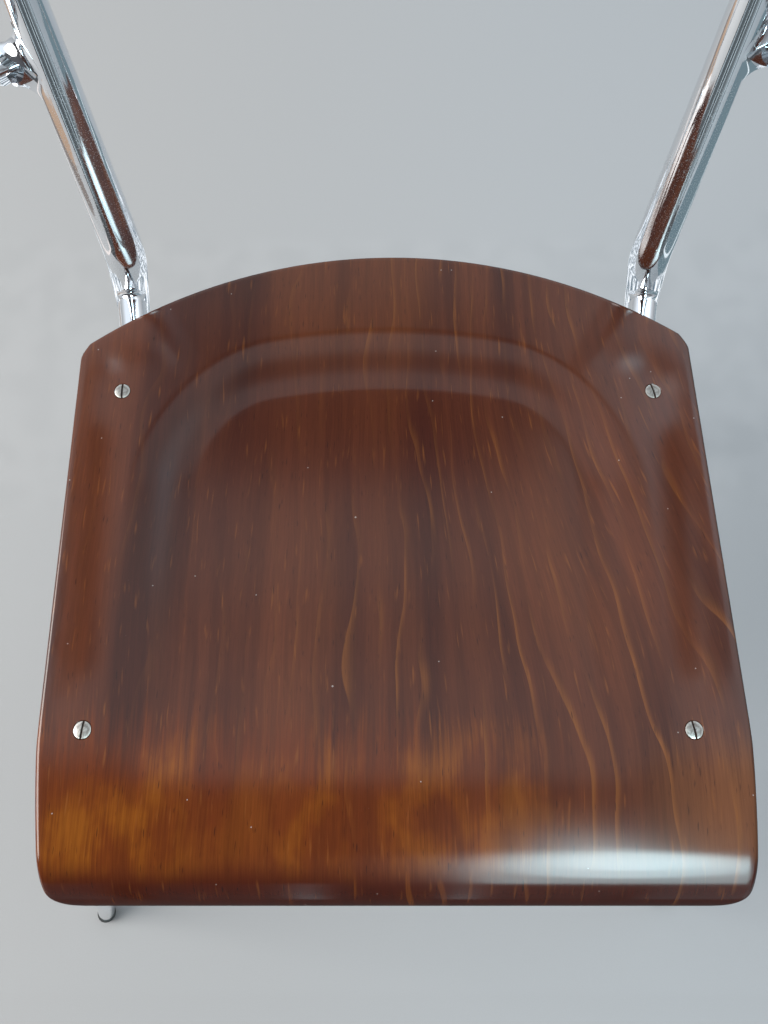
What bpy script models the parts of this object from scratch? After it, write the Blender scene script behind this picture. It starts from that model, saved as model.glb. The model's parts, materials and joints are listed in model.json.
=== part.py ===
"""Stacking armchair: moulded plywood seat and back on a chromed frame of conical tubes.

Metres, +Z up. The sitter faces -Y, and left and right are those of someone facing the chair.
"""
import math

import bmesh
import bpy
from mathutils import Matrix, Vector

# Fits
GAP = 0.0003                                # clearance between pieces that touch
FINITE_STEP = 0.0002                        # used to work out surface normals

# Seat panel
SEAT_TOP = 0.455                            # height of the flat border
SEAT_HALF_WIDTH = 0.2018
SEAT_REAR_Y = 0.184                         # rear edge, on the centre line
SEAT_REAR_RADIUS = 0.332                    # the rear edge is an arc in plan
SEAT_REAR_CORNER = 0.008
SEAT_REAR_TRIM = 0.005                      # how far the rear corners are rounded off
SEAT_FRONT_CORNER = 0.018
SEAT_TAPER = 0.0085                         # how much each side draws in before its front corner
SEAT_TAPER_LENGTH = 0.100
SEAT_TAPER_POWER = 1.2
SEAT_TURN = 0.020                           # the sides and rear edge are turned a little on the frame
SEAT_TURN_Y = 0.040                         # the turn's centre
PLY = 0.009
PLY_EDGE = 0.0028                           # rounding of the panels' edges
DIP_Y = -0.117                              # where the border starts to dip towards the front
DIP_LENGTH = 0.080
DIP_RADIUS = 0.600
ROLL_RADIUS = 0.037                         # front roll
ROLL_TURN = math.radians(67)
DISH_DEPTH = 0.009
DISH_HALF_WIDTH = 0.162
DISH_REAR_Y = 0.126
DISH_REAR_RADIUS = 0.420
DISH_CORNER = 0.085
DISH_SLOPE = 0.042                          # width of the dish's sloping wall
DISH_FADE_Y = (-0.175, -0.030)              # the dish runs out towards the front
SEAT_CELLS = (22, 20)

# Seat screws, spacers and nuts
SCREW_X = 0.1725
SEAT_SCREW_Y = {"front": -0.1334, "rear": 0.0796}
SHANK_RADIUS = 0.0025
HOLE_RADIUS = SHANK_RADIUS + GAP
HEAD_RADIUS = 0.0050
HEAD_RIM = 0.0006
HEAD_DEPTH = 0.0030
HEAD_DOME = 0.0007
HEAD_CROWN = (0.6, 0.7)                     # the dome's middle ring: shares of its radius and height
SLOT_WIDTH = 0.0012
SLOT_DEPTH = 0.0012
SLOT_TURN = {"front_left": -5, "front_right": 9, "rear_left": 2, "rear_right": 12}
SPACER_RADIUS = 0.009
SPACER_HEIGHT = 0.008                       # between the seat and the rail
NUT_RADIUS = 0.0052
NUT_BODY = 0.0045
NUT_HEIGHT = 0.0085
NUT_SHOULDER = 0.84                         # share of the radius where the dome starts
NUT_CROWN = (0.6, 0.87)                     # the dome's middle ring
THREAD_IN_NUT = 0.0055
THREAD_CHAMFER = 0.0008

# Rear legs and uprights
WALL = 0.0015
KNEE = Vector((0.1728, 0.1683, 0.4763))
KNEE_BEND = 0.060
KNEE_RADIUS = 0.0130
RECLINE = 0.2208                            # upright's run back per unit height
DIVERGE = 0.0385                            # upright's run outwards per unit height
UPRIGHT_TOP = 0.788
UPRIGHT_TOP_RADIUS = 0.0076
REAR_FOOT = Vector((0.300, 0.288, 0.0))
LEG_END_RADIUS = 0.0080

# Front legs and rails
RAIL_RADIUS = 0.010
RAIL_Z = SEAT_TOP - PLY - SPACER_HEIGHT - RAIL_RADIUS
RAIL_FRONT_Y = -0.170
RAIL_KINK_Y = 0.110
LEG_BEND = 0.045
KINK_BEND = 0.080
FRONT_FOOT = {"left": Vector((0.290, -0.288, 0.0)), "right": Vector((0.290, -0.271, 0.0))}
CROSS_RADIUS = 0.008
CROSS_Y = {"front": -0.095, "rear": 0.112}

# Arms
ARM_JOINT_Z = {"left": 0.600, "right": 0.610}
ARM_X = 0.262
ARM_BEND = 0.045
ARM_FRONT = Vector((ARM_X, -0.090, 0.640))
ARM_RADIUS = 0.0103
ARM_END_RADIUS = 0.0085
FLARE = 0.013                               # size of the brazed fillet at the upright
FLARE_RINGS = (0, 0.5, 1, 1.25, 1.6, 2.2)   # places of its rings, in upright radii from the axis
PAD_HALF_WIDTH = 0.022
PAD_THICKNESS = 0.017
PAD_EDGE = 0.006
PAD_SINK = 0.004                            # depth of the groove that the tube lies in
PAD_REACH = (0.006, 0.230)                  # where the pad starts and ends, back along the tube
PAD_CORNER = 0.020
PAD_CELLS = (6, 8)
ARM_SCREW_FROM_END = {"front": 0.035, "rear": 0.165}
ARM_SCREW_BITE = 0.010
ARM_HOLE_RELIEF = 0.001
PAN_RADIUS = 0.0045
PAN_HEIGHT = 0.0024

# Back panel
BACK_Z = 0.735
BACK_HALF_WIDTH = 0.205
BACK_HALF_HEIGHT = 0.080
BACK_CORNER = 0.045
BACK_CROWN = 0.010
BACK_RADIUS = 0.420                         # the panel is bent around the sitter's back
BACK_CELLS = (16, 9)
BACK_SCREW_OFFSET = {"lower": -0.037, "upper": 0.037}
BACK_SLOT_TURN = 10

# Feet and plugs
FOOT_HEIGHT = 0.0130
FOOT_RADIUS = 0.0088
FOOT_TIP_RADIUS = 0.0066
FOOT_OVERRUN = 0.0035
FOOT_STEM = 0.016
PLUG_STEM = 0.010
PLUG_DOME = 0.003
PLUG_LEAD = 0.8                             # share of the stem above its tapered tip
PLUG_CROWN = ((1, 0.4), (0.7, 1), (0, 1.2))  # rings of its dome: shares of its radius and height
STEM_TAPER = 0.0005
FLOOR_CUT = (0.06, 0.06, 0.04)              # block that trims a foot level with the floor

# Facets
TUBE_SIDES = 16
TURNED_SIDES = 16
NUT_SIDES = 12
BEND_STEPS = 7
EDGE_STEPS = 2

SIDES = {"left": -1, "right": 1}
UP = Vector((0, 0, 1))


def clear_scene():
    for item in list(bpy.data.objects):
        bpy.data.objects.remove(item, do_unlink=True)


def make_material(name, colour, roughness, metallic):
    material = bpy.data.materials.new(name)
    material.use_nodes = True
    shader = material.node_tree.nodes["Principled BSDF"]
    shader.inputs["Base Color"].default_value = (*colour, 1)
    shader.inputs["Roughness"].default_value = roughness
    shader.inputs["Metallic"].default_value = metallic
    material.diffuse_color = (*colour, 1)
    return material


def make_object(name, bm, material, place=None):
    """Turns a bmesh into an object of its own, with outward faces."""
    bmesh.ops.recalc_face_normals(bm, faces=bm.faces)
    mesh = bpy.data.meshes.new(name)
    bm.to_mesh(mesh)
    bm.free()
    mesh.shade_smooth()
    item = bpy.data.objects.new(name, mesh)
    bpy.context.scene.collection.objects.link(item)
    if place is not None:
        item.matrix_world = place
    if material is None:
        item.hide_render = True
        item.display_type = "WIRE"
    else:
        mesh.materials.append(material)
    return item


def cut(item, cutter):
    boolean = item.modifiers.new("cut_" + cutter.name, "BOOLEAN")
    boolean.operation = "DIFFERENCE"
    boolean.solver = "EXACT"
    boolean.object = cutter


def standing(position, axis):
    """A placement whose +Z runs along the axis."""
    return Matrix.Translation(position) @ axis.to_track_quat("Z", "Y").to_matrix().to_4x4()


def mirrored(point, side):
    return Vector((point.x * SIDES[side], point.y, point.z))


def smoothstep(value):
    value = min(max(value, 0.0), 1.0)
    return value * value * (3 - 2 * value)


# Tubes

def rounded_path(corners, radii):
    """Points along straight runs joined by arcs."""
    points = [corners[0]]
    for before, corner, after, radius in zip(corners, corners[1:], corners[2:], radii):
        back = (before - corner).normalized()
        ahead = (after - corner).normalized()
        half = back.angle(ahead) / 2
        start = corner + back * (radius / math.tan(half))
        centre = corner + (back + ahead).normalized() * (radius / math.sin(half))
        spoke = start - centre
        hinge = spoke.cross(-back)
        for step in range(BEND_STEPS + 1):
            turn = Matrix.Rotation((math.pi - 2 * half) * step / BEND_STEPS, 3, hinge)
            points.append(centre + turn @ spoke)
    points.append(corners[-1])
    return points


def path_lengths(points):
    lengths = [0.0]
    for one, two in zip(points, points[1:]):
        lengths.append(lengths[-1] + (two - one).length)
    return lengths


def path_frames(points, first_side):
    """Side and up directions at each point, carried along without twist."""
    frames = []
    side = first_side
    for index in range(len(points)):
        ahead = points[min(index + 1, len(points) - 1)] - points[index]
        behind = points[index] - points[max(index - 1, 0)]
        tangent = (ahead.normalized() + behind.normalized()).normalized()
        side = (side - tangent * side.dot(tangent)).normalized()
        frames.append((side, tangent.cross(side)))
    return frames


def add_ring(bm, centre, frame, wide, tall):
    ring = []
    for step in range(TUBE_SIDES):
        turn = 2 * math.pi * step / TUBE_SIDES
        offset = frame[0] * wide * math.cos(turn) + frame[1] * tall * math.sin(turn)
        ring.append(bm.verts.new(centre + offset))
    return ring


def join_rings(bm, rings):
    for one, two in zip(rings, rings[1:]):
        count = len(one)
        for step in range(count):
            after = (step + 1) % count
            bm.faces.new((one[step], one[after], two[after], two[step]))


def make_tube(name, points, radius_at, material, first_side, flare_at=None, grow=0.0):
    """A hollow tube, or with no material a solid cutter that is grown all round."""
    bm = bmesh.new()
    lengths = path_lengths(points)
    frames = path_frames(points, first_side)
    outer = []
    inner = []
    for point, frame, length in zip(points, frames, lengths):
        radius = radius_at(length, lengths[-1]) + grow
        flare = flare_at(length) if flare_at else 0.0
        outer.append(add_ring(bm, point, frame, radius + flare, radius))
        if material is not None:
            inner.append(add_ring(bm, point, frame, radius - WALL, radius - WALL))
    if material is None:
        join_rings(bm, outer)
        bm.faces.new(outer[0])
        bm.faces.new(outer[-1])
    else:
        join_rings(bm, outer + inner[::-1] + outer[:1])
    return make_object(name, bm, material)


def taper(start, end):
    return lambda length, total: start + (end - start) * length / total


def drill(name, start, end, targets):
    """A round hole between two points, through each of the targets."""
    bm = bmesh.new()
    axis = end - start
    bmesh.ops.create_cone(bm, cap_ends=True, segments=NUT_SIDES, radius1=HOLE_RADIUS, radius2=HOLE_RADIUS,
                          depth=axis.length)
    cutter = make_object(name, bm, None, standing((start + end) / 2, axis))
    for target in targets:
        cut(target, cutter)


# Turned pieces

def turn_profile(name, profile, sides, material, place, closed=False, hexagonal=()):
    """Turns a profile of (radius, height) pairs about +Z; the hexagonal ones get six flats."""
    bm = bmesh.new()
    rings = []
    for index, (radius, height) in enumerate(profile):
        if radius == 0:
            rings.append([bm.verts.new((0, 0, height))])
            continue
        ring = []
        for step in range(sides):
            angle = 2 * math.pi * step / sides
            reach = radius
            if index in hexagonal:
                reach /= math.cos(angle % (math.pi / 3) - math.pi / 6)
            ring.append(bm.verts.new((reach * math.cos(angle), reach * math.sin(angle), height)))
        rings.append(ring)
    pairs = list(zip(rings, rings[1:] + (rings[:1] if closed else [])))
    for one, two in pairs:
        for step in range(sides):
            after = (step + 1) % sides
            near = [one[step % len(one)], one[after % len(one)]]
            far = [two[after % len(two)], two[step % len(two)]]
            bm.faces.new(list(dict.fromkeys(near + far)))
    return make_object(name, bm, material, place)


def make_slotted_screw(name, place, length, slot_turn, material):
    """A countersunk screw whose head's rim is level with its own Z of 0."""
    profile = [(0, HEAD_DOME), (HEAD_RADIUS * HEAD_CROWN[0], HEAD_DOME * HEAD_CROWN[1]), (HEAD_RADIUS, 0),
               (HEAD_RADIUS, -HEAD_RIM), (SHANK_RADIUS, -HEAD_DEPTH), (SHANK_RADIUS, THREAD_CHAMFER - length),
               (SHANK_RADIUS - THREAD_CHAMFER, -length), (0, -length)]
    screw = turn_profile(name, profile, TURNED_SIDES, material, place)
    bm = bmesh.new()
    box = Matrix.Diagonal((SLOT_WIDTH, 3 * HEAD_RADIUS, 2 * SLOT_DEPTH, 1))
    bmesh.ops.create_cube(bm, size=1, matrix=Matrix.Translation((0, 0, HEAD_DOME)) @ box)
    slot = make_object(name + "_slot", bm, None, place @ Matrix.Rotation(math.radians(slot_turn), 4, "Z"))
    cut(screw, slot)
    return screw


def countersink(name, place, target):
    """The seat for a slotted screw's head and shank, through a panel."""
    above = PLY / 4
    profile = [(0, above), (HEAD_RADIUS + GAP, above), (HEAD_RADIUS + GAP, -HEAD_RIM - GAP),
               (HOLE_RADIUS, -HEAD_DEPTH - GAP), (HOLE_RADIUS, -2 * PLY), (0, -2 * PLY)]
    cut(target, turn_profile(name, profile, TURNED_SIDES, None, place))


def make_cap_nut(name, place, material):
    """A domed hexagon nut: its threaded face is at its own Z of 0, its dome towards +Z."""
    profile = [(0, THREAD_IN_NUT + GAP), (HOLE_RADIUS, THREAD_IN_NUT + GAP), (HOLE_RADIUS, 0),
               (NUT_RADIUS, 0), (NUT_RADIUS, NUT_BODY), (NUT_RADIUS * NUT_SHOULDER, NUT_BODY + GAP),
               (NUT_RADIUS * NUT_CROWN[0], NUT_HEIGHT * NUT_CROWN[1]), (0, NUT_HEIGHT)]
    turn_profile(name, profile, NUT_SIDES, material, place, hexagonal=(3, 4))


def make_plug(name, place, radius, material):
    """A domed plug: the stem goes down the tube, from its own Z of 0."""
    stem = radius - WALL - GAP
    profile = [(0, -PLUG_STEM), (stem - STEM_TAPER, -PLUG_STEM), (stem, -PLUG_STEM * PLUG_LEAD), (stem, GAP),
               (radius, GAP)]
    profile += [(radius * wide, PLUG_DOME * high) for wide, high in PLUG_CROWN]
    turn_profile(name, profile, TURNED_SIDES, material, place)


# Bent panels

def rounding(distance, radius):
    """How far an edge is pulled in at a distance from the start of its rounded corner."""
    if distance >= radius:
        return 0.0
    return radius - math.sqrt(radius ** 2 - (radius - distance) ** 2)


def sunk(face, across, run, depth):
    """The point at a depth under a face, along the face's normal."""
    over = face(across + FINITE_STEP, run) - face(across - FINITE_STEP, run)
    along = face(across, run + FINITE_STEP) - face(across, run - FINITE_STEP)
    return face(across, run) - along.cross(over).normalized() * depth


def edge_loop(columns, rows):
    """Grid places around the rim, in order."""
    near = [(column, 0) for column in range(columns)]
    right = [(columns, row) for row in range(rows)]
    far = [(column, rows) for column in range(columns, 0, -1)]
    left = [(0, row) for row in range(rows, 0, -1)]
    return near + right + far + left


def make_panel(name, outline, face, thickness, edge, cells, material):
    """A panel with rounded edges: outline flattens it, face bends it to its moulded shape."""
    bm = bmesh.new()
    columns, rows = cells

    def point(place, inset, depth):
        wide = 2 * place[0] / columns - 1
        down = 0.5 - 0.5 * math.cos(math.pi * place[1] / rows)
        return bm.verts.new(sunk(face, *outline(wide, down, inset), depth))

    def grid(depth):
        return {(c, r): point((c, r), edge, depth) for c in range(columns + 1) for r in range(rows + 1)}

    rim = edge_loop(columns, rows)
    top = grid(0.0)
    bottom = grid(thickness)
    loops = [[top[place] for place in rim]]
    turns = [math.pi / 2 * step / EDGE_STEPS for step in range(1, EDGE_STEPS + 1)]
    depths = [edge * (1 - math.cos(turn)) for turn in turns]
    depths += [thickness - depth for depth in depths[::-1]]
    for turn, depth in zip(turns + turns[::-1], depths):
        loops.append([point(place, edge * (1 - math.sin(turn)), depth) for place in rim])
    loops.append([bottom[place] for place in rim])
    join_rings(bm, loops)
    for c in range(columns):
        for r in range(rows):
            for layer in (top, bottom):
                bm.faces.new((layer[c, r], layer[c + 1, r], layer[c + 1, r + 1], layer[c, r + 1]))
    return make_object(name, bm, material)


def dish(x, y):
    """Depth of the seat's hollow: a rounded shape that runs out towards the front."""
    rear = DISH_REAR_Y - DISH_REAR_RADIUS + math.sqrt(DISH_REAR_RADIUS ** 2 - x * x)
    beside = abs(x) - (DISH_HALF_WIDTH - DISH_CORNER)
    behind = y - (rear - DISH_CORNER)
    outside = math.hypot(max(beside, 0), max(behind, 0)) + min(max(beside, behind), 0) - DISH_CORNER
    fade = (y - DISH_FADE_Y[0]) / (DISH_FADE_Y[1] - DISH_FADE_Y[0])
    return DISH_DEPTH * smoothstep(-outside / DISH_SLOPE) * smoothstep(fade)


def seat_face(x, run):
    """The seat's upper face, at a run forward from where the border starts to dip."""
    y = DIP_Y - run
    z = 0.0
    if run > 0:
        turn = min(run, DIP_LENGTH) / DIP_RADIUS
        y = DIP_Y - DIP_RADIUS * math.sin(turn)
        z = -DIP_RADIUS * (1 - math.cos(turn))
        if run > DIP_LENGTH:
            roll = turn + (run - DIP_LENGTH) / ROLL_RADIUS
            y -= ROLL_RADIUS * (math.sin(roll) - math.sin(turn))
            z -= ROLL_RADIUS * (math.cos(turn) - math.cos(roll))
    return Vector((x, y, SEAT_TOP + z - dish(x, y)))


def seat_outline(wide, down, inset):
    def rear_run(x):
        return DIP_Y - (SEAT_REAR_Y - SEAT_REAR_RADIUS + math.sqrt((SEAT_REAR_RADIUS - inset) ** 2 - x * x))

    half = SEAT_HALF_WIDTH - inset
    front_run = DIP_LENGTH + ROLL_RADIUS * ROLL_TURN - inset
    length = front_run - rear_run(half)
    ahead = (1 - down) * length
    half -= rounding(ahead, SEAT_FRONT_CORNER - inset)
    half -= SEAT_TAPER * max(1 - ahead / SEAT_TAPER_LENGTH, 0) ** SEAT_TAPER_POWER
    half -= SEAT_REAR_TRIM * max(1 - down * length / SEAT_REAR_CORNER, 0) ** 2
    x = wide * half
    run = rear_run(x) + (front_run - rear_run(x)) * down
    return x + SEAT_TURN * (run - DIP_Y + SEAT_TURN_Y), run - SEAT_TURN * x * (1 - down)


def make_seat(material):
    return make_panel("seat_panel", seat_outline, seat_face, PLY, PLY_EDGE, SEAT_CELLS, material)


# Frame

def upright_point(side, z):
    rise = z - KNEE.z
    return mirrored(KNEE + Vector((DIVERGE, RECLINE, 1)) * rise, side)


def upright_radius(z):
    return KNEE_RADIUS + (UPRIGHT_TOP_RADIUS - KNEE_RADIUS) * (z - KNEE.z) / (UPRIGHT_TOP - KNEE.z)


def leg_end(floor_point, joint):
    return floor_point + (joint - floor_point).normalized() * FOOT_HEIGHT


def rear_path(side):
    knee = mirrored(KNEE, side)
    end = leg_end(mirrored(REAR_FOOT, side), knee)
    return rounded_path([end, knee, upright_point(side, UPRIGHT_TOP)], [KNEE_BEND])


def rear_radius(length, total):
    """Widest at the knee, narrowing to the foot and to the top."""
    below = (KNEE - REAR_FOOT).length - FOOT_HEIGHT
    if length < below:
        return LEG_END_RADIUS + (KNEE_RADIUS - LEG_END_RADIUS) * length / below
    return KNEE_RADIUS + (UPRIGHT_TOP_RADIUS - KNEE_RADIUS) * min((length - below) / (total - below), 1)


def rail_joint(side):
    """Where the rail's axis meets the rear leg's."""
    down = (KNEE.z - RAIL_Z) / KNEE.z
    return mirrored(KNEE + (REAR_FOOT - KNEE) * down, side)


def front_path(side):
    corner = mirrored(Vector((SCREW_X, RAIL_FRONT_Y, RAIL_Z)), side)
    kink = mirrored(Vector((SCREW_X, RAIL_KINK_Y, RAIL_Z)), side)
    end = leg_end(mirrored(FRONT_FOOT[side], side), corner)
    return rounded_path([end, corner, kink, rail_joint(side)], [LEG_BEND, KINK_BEND])


def front_radius(length, total):
    leg = (FRONT_FOOT["left"] - Vector((SCREW_X, RAIL_FRONT_Y, RAIL_Z))).length
    return LEG_END_RADIUS + (RAIL_RADIUS - LEG_END_RADIUS) * min(length / leg, 1)


def arm_joint(side):
    return upright_point(side, ARM_JOINT_Z[side])


def arm_path(side):
    joint = arm_joint(side)
    elbow = Vector((ARM_X * SIDES[side], joint.y, joint.z))
    outward = (elbow - joint).normalized() * upright_radius(joint.z)
    flared = [joint + outward * reach for reach in FLARE_RINGS]
    return flared[:-1] + rounded_path([flared[-1], elbow, mirrored(ARM_FRONT, side)], [ARM_BEND])


def arm_flare(side):
    """The brazed fillet: the branch widens along the upright as it reaches it."""
    root = upright_radius(ARM_JOINT_Z[side])

    def flare(length):
        reach = min(max((length - root) / FLARE, 0), 1)
        return FLARE * (1 - math.sqrt(1 - (1 - reach) ** 2))

    return flare


def make_frame(chrome):
    """The welded frame, and grown solids that cope one tube against another."""
    frame = {}
    for side in SIDES:
        across = Vector((0, 1, 0))
        upright = (rear_path(side), rear_radius)
        rail = (front_path(side), front_radius)
        frame["upright", side] = make_tube(side + "_rear_leg_upright", *upright, chrome, across)
        frame["rail", side] = make_tube(side + "_front_leg_rail", *rail, chrome, across)
        frame["upright_cutter", side] = make_tube(side + "_upright_cutter", *upright, None, across, grow=GAP)
        frame["rail_cutter", side] = make_tube(side + "_rail_cutter", *rail, None, across, grow=GAP)
        cut(frame["rail", side], frame["upright_cutter", side])
        slope = upright_point(side, 1) - upright_point(side, 0)
        arm = (arm_path(side), taper(ARM_RADIUS, ARM_END_RADIUS))
        frame["arm", side] = make_tube(side + "_arm_tube", *arm, chrome, slope, arm_flare(side))
        frame["arm_cutter", side] = make_tube(side + "_arm_cutter", *arm, None, slope, grow=GAP)
        cut(frame["arm", side], frame["upright_cutter", side])
    for place, y in CROSS_Y.items():
        ends = [Vector((-SCREW_X, y, RAIL_Z)), Vector((SCREW_X, y, RAIL_Z))]
        cross = make_tube(place + "_cross_tube", ends, lambda length, total: CROSS_RADIUS, chrome, UP)
        for side in SIDES:
            cut(cross, frame["rail_cutter", side])
    return frame


def make_seat_fixings(seat, frame, steel, rubber):
    for side, sign in SIDES.items():
        for place, y in SEAT_SCREW_Y.items():
            name = place + "_" + side
            head = Vector((sign * SCREW_X, y, seat_face(SCREW_X, DIP_Y - y).z))
            under_rail = RAIL_Z - RAIL_RADIUS - GAP
            length = head.z - under_rail + THREAD_IN_NUT
            upright = Matrix.Translation(head)
            make_slotted_screw("seat_screw_" + name, upright, length, SLOT_TURN[name], steel)
            countersink("seat_hole_" + name, upright, seat)
            low = Vector((head.x, head.y, under_rail - RAIL_RADIUS))
            drill("rail_hole_" + name, low, head, [frame["rail", side]])
            top = seat_face(SCREW_X, DIP_Y - y + SPACER_RADIUS).z - PLY - GAP
            ring = [(HOLE_RADIUS, top), (SPACER_RADIUS, top), (SPACER_RADIUS, RAIL_Z), (HOLE_RADIUS, RAIL_Z)]
            spacer = turn_profile("seat_spacer_" + name, ring, TURNED_SIDES, rubber,
                                  Matrix.Translation((head.x, head.y, 0)), closed=True)
            cut(spacer, frame["rail_cutter", side])
            make_cap_nut("seat_nut_" + name, standing(Vector((head.x, head.y, under_rail)), -UP), steel)


# Back

def back_frame():
    """Centre of the back between the uprights, with directions across, forward and up the uprights."""
    centre = upright_point("right", BACK_Z)
    up = Vector((0, RECLINE, 1)).normalized()
    forward = Vector((0, -up.z, up.y))
    return Vector((0, centre.y, centre.z)), forward, up


def back_contact(height):
    """Half spacing and radius of the uprights, and the panel's centre of bend, at a height up the back."""
    z = BACK_Z + height * back_frame()[2].z
    half_spacing = upright_point("right", z).x
    reach = BACK_RADIUS + upright_radius(z) + 2 * GAP
    return half_spacing, reach, math.sqrt(reach ** 2 - half_spacing ** 2)


def back_bend_centre(height):
    low, high = (back_contact(offset)[2] for offset in BACK_SCREW_OFFSET.values())
    share = (height - BACK_SCREW_OFFSET["lower"]) / (BACK_SCREW_OFFSET["upper"] - BACK_SCREW_OFFSET["lower"])
    return low + (high - low) * share


def back_face(across, run):
    """The face towards the sitter, at a run downwards from mid height."""
    centre, forward, up = back_frame()
    radius = BACK_RADIUS - PLY
    turn = across / radius
    ahead = back_bend_centre(-run) - radius * math.cos(turn)
    return centre + Vector((radius * math.sin(turn), 0, 0)) + forward * ahead - up * run


def back_outline(wide, down, inset):
    half = BACK_HALF_WIDTH - inset
    height = 2 * (BACK_HALF_HEIGHT - inset)
    half -= rounding(down * height, BACK_CORNER - inset)
    half -= rounding((1 - down) * height, BACK_CORNER - inset)
    x = wide * half
    crown = BACK_CROWN * (1 - (x / BACK_HALF_WIDTH) ** 2)
    return x, (down - 0.5) * height - crown * (1 - 2 * down) / 2


def make_back(material, frame, steel):
    back = make_panel("back_panel", back_outline, back_face, PLY, PLY_EDGE, BACK_CELLS, material)
    centre, forward, up = back_frame()
    for side, sign in SIDES.items():
        for place, height in BACK_SCREW_OFFSET.items():
            name = place + "_" + side
            half_spacing, reach, _ = back_contact(height)
            turn = math.asin(half_spacing / reach)
            axis = forward * math.cos(turn) + Vector((-sign * math.sin(turn), 0, 0))
            tube = centre + up * height + Vector((sign * half_spacing, 0, 0))
            radius = upright_radius(tube.z)
            head = tube + axis * (radius + 2 * GAP + PLY)
            behind = tube - axis * (radius + GAP)
            length = (head - behind).length + THREAD_IN_NUT
            facing = standing(head, axis)
            make_slotted_screw("back_screw_" + name, facing, length, BACK_SLOT_TURN * sign, steel)
            countersink("back_hole_" + name, facing, back)
            drill("upright_hole_" + name, behind - axis * radius, head, [frame["upright", side]])
            make_cap_nut("back_nut_" + name, standing(behind, -axis), steel)


# Arm pads

def make_armrest(side, wood, frame, steel):
    path = arm_path(side)
    tip = path[-1]
    along = (path[-2] - tip).normalized()
    across = Vector((1, 0, 0))
    above = along.cross(across)
    above *= math.copysign(1, above.z)
    top = tip + above * (ARM_END_RADIUS - PAD_SINK + PAD_THICKNESS)
    middle = sum(PAD_REACH) / 2
    half_length = (PAD_REACH[1] - PAD_REACH[0]) / 2

    def face(x, run):
        return top + across * x + along * (middle - run)

    def outline(wide, down, inset):
        half = PAD_HALF_WIDTH - inset
        length = 2 * (half_length - inset)
        half -= rounding(down * length, PAD_CORNER - inset)
        half -= rounding((1 - down) * length, PAD_CORNER - inset)
        return wide * half, (down - 0.5) * length

    pad = make_panel(side + "_armrest", outline, face, PAD_THICKNESS, PAD_EDGE, PAD_CELLS, wood)
    cut(pad, frame["arm_cutter", side])
    for place, distance in ARM_SCREW_FROM_END.items():
        name = place + "_" + side
        seat = tip + along * distance
        head = seat - above * (ARM_RADIUS + GAP)
        point = seat + above * (ARM_RADIUS + ARM_SCREW_BITE)
        length = (point - head).length
        profile = [(0, -PAN_HEIGHT), (PAN_RADIUS * 0.7, -PAN_HEIGHT * 0.9), (PAN_RADIUS, -PAN_HEIGHT * 0.4),
                   (PAN_RADIUS, 0), (SHANK_RADIUS, 0), (SHANK_RADIUS, length - PAN_HEIGHT), (0, length)]
        turn_profile("arm_screw_" + name, profile, TURNED_SIDES, steel, standing(head, above))
        targets = [frame["arm", side], pad]
        drill("arm_hole_" + name, head - above * ARM_RADIUS, point + above * ARM_HOLE_RELIEF, targets)


# Feet and plugs

def make_foot(name, floor_point, joint, rubber):
    """A plug in the leg's end, cut flat where it stands on the floor."""
    down = (floor_point - joint).normalized()
    stem = LEG_END_RADIUS - WALL - GAP
    tip = FOOT_HEIGHT + FOOT_OVERRUN
    profile = [(0, -FOOT_STEM), (stem - STEM_TAPER, -FOOT_STEM), (stem, -FOOT_STEM * 0.8), (stem, GAP),
               (LEG_END_RADIUS, GAP), (FOOT_RADIUS, tip * 0.1), (FOOT_RADIUS, tip * 0.5),
               ((FOOT_RADIUS + FOOT_TIP_RADIUS) / 2, tip * 0.8), (FOOT_TIP_RADIUS, tip), (0, tip)]
    place = standing(floor_point - down * FOOT_HEIGHT, down)
    foot = turn_profile(name, profile, TURNED_SIDES, rubber, place)
    bm = bmesh.new()
    below = Matrix.Translation((floor_point.x, floor_point.y, -FLOOR_CUT[2] / 2))
    bmesh.ops.create_cube(bm, size=1, matrix=below @ Matrix.Diagonal((*FLOOR_CUT, 1)))
    cut(foot, make_object(name + "_floor", bm, None))


def make_ends(rubber, plastic):
    for side in SIDES:
        front = mirrored(FRONT_FOOT[side], side)
        corner = mirrored(Vector((SCREW_X, RAIL_FRONT_Y, RAIL_Z)), side)
        make_foot("foot_front_" + side, front, corner, rubber)
        make_foot("foot_rear_" + side, mirrored(REAR_FOOT, side), mirrored(KNEE, side), rubber)
        rise = (upright_point(side, 1) - upright_point(side, 0)).normalized()
        top = standing(upright_point(side, UPRIGHT_TOP), rise)
        make_plug("upright_plug_" + side, top, UPRIGHT_TOP_RADIUS, plastic)
        path = arm_path(side)
        ahead = (path[-1] - path[-2]).normalized()
        make_plug("arm_plug_" + side, standing(path[-1], ahead), ARM_END_RADIUS, plastic)


def build():
    clear_scene()
    wood = make_material("stained_beech", (0.13, 0.045, 0.025), 0.3, 0)
    chrome = make_material("chrome", (0.82, 0.83, 0.85), 0.08, 1)
    steel = make_material("nickelled_screws", (0.62, 0.60, 0.56), 0.35, 1)
    rubber = make_material("black_rubber", (0.03, 0.028, 0.026), 0.7, 0)
    plastic = make_material("black_plastic", (0.04, 0.04, 0.04), 0.45, 0)
    seat = make_seat(wood)
    frame = make_frame(chrome)
    make_seat_fixings(seat, frame, steel, rubber)
    make_back(wood, frame, steel)
    for side in SIDES:
        make_armrest(side, wood, frame, steel)
    make_ends(rubber, plastic)


build()
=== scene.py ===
"""Stacking armchair: the visual model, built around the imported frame.

Metres, +Z up. The sitter faces -Y, and left and right are those of someone facing the chair.
"""
import json
import math
from functools import reduce

import bmesh
import bpy
from mathutils import Matrix, Vector


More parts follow.
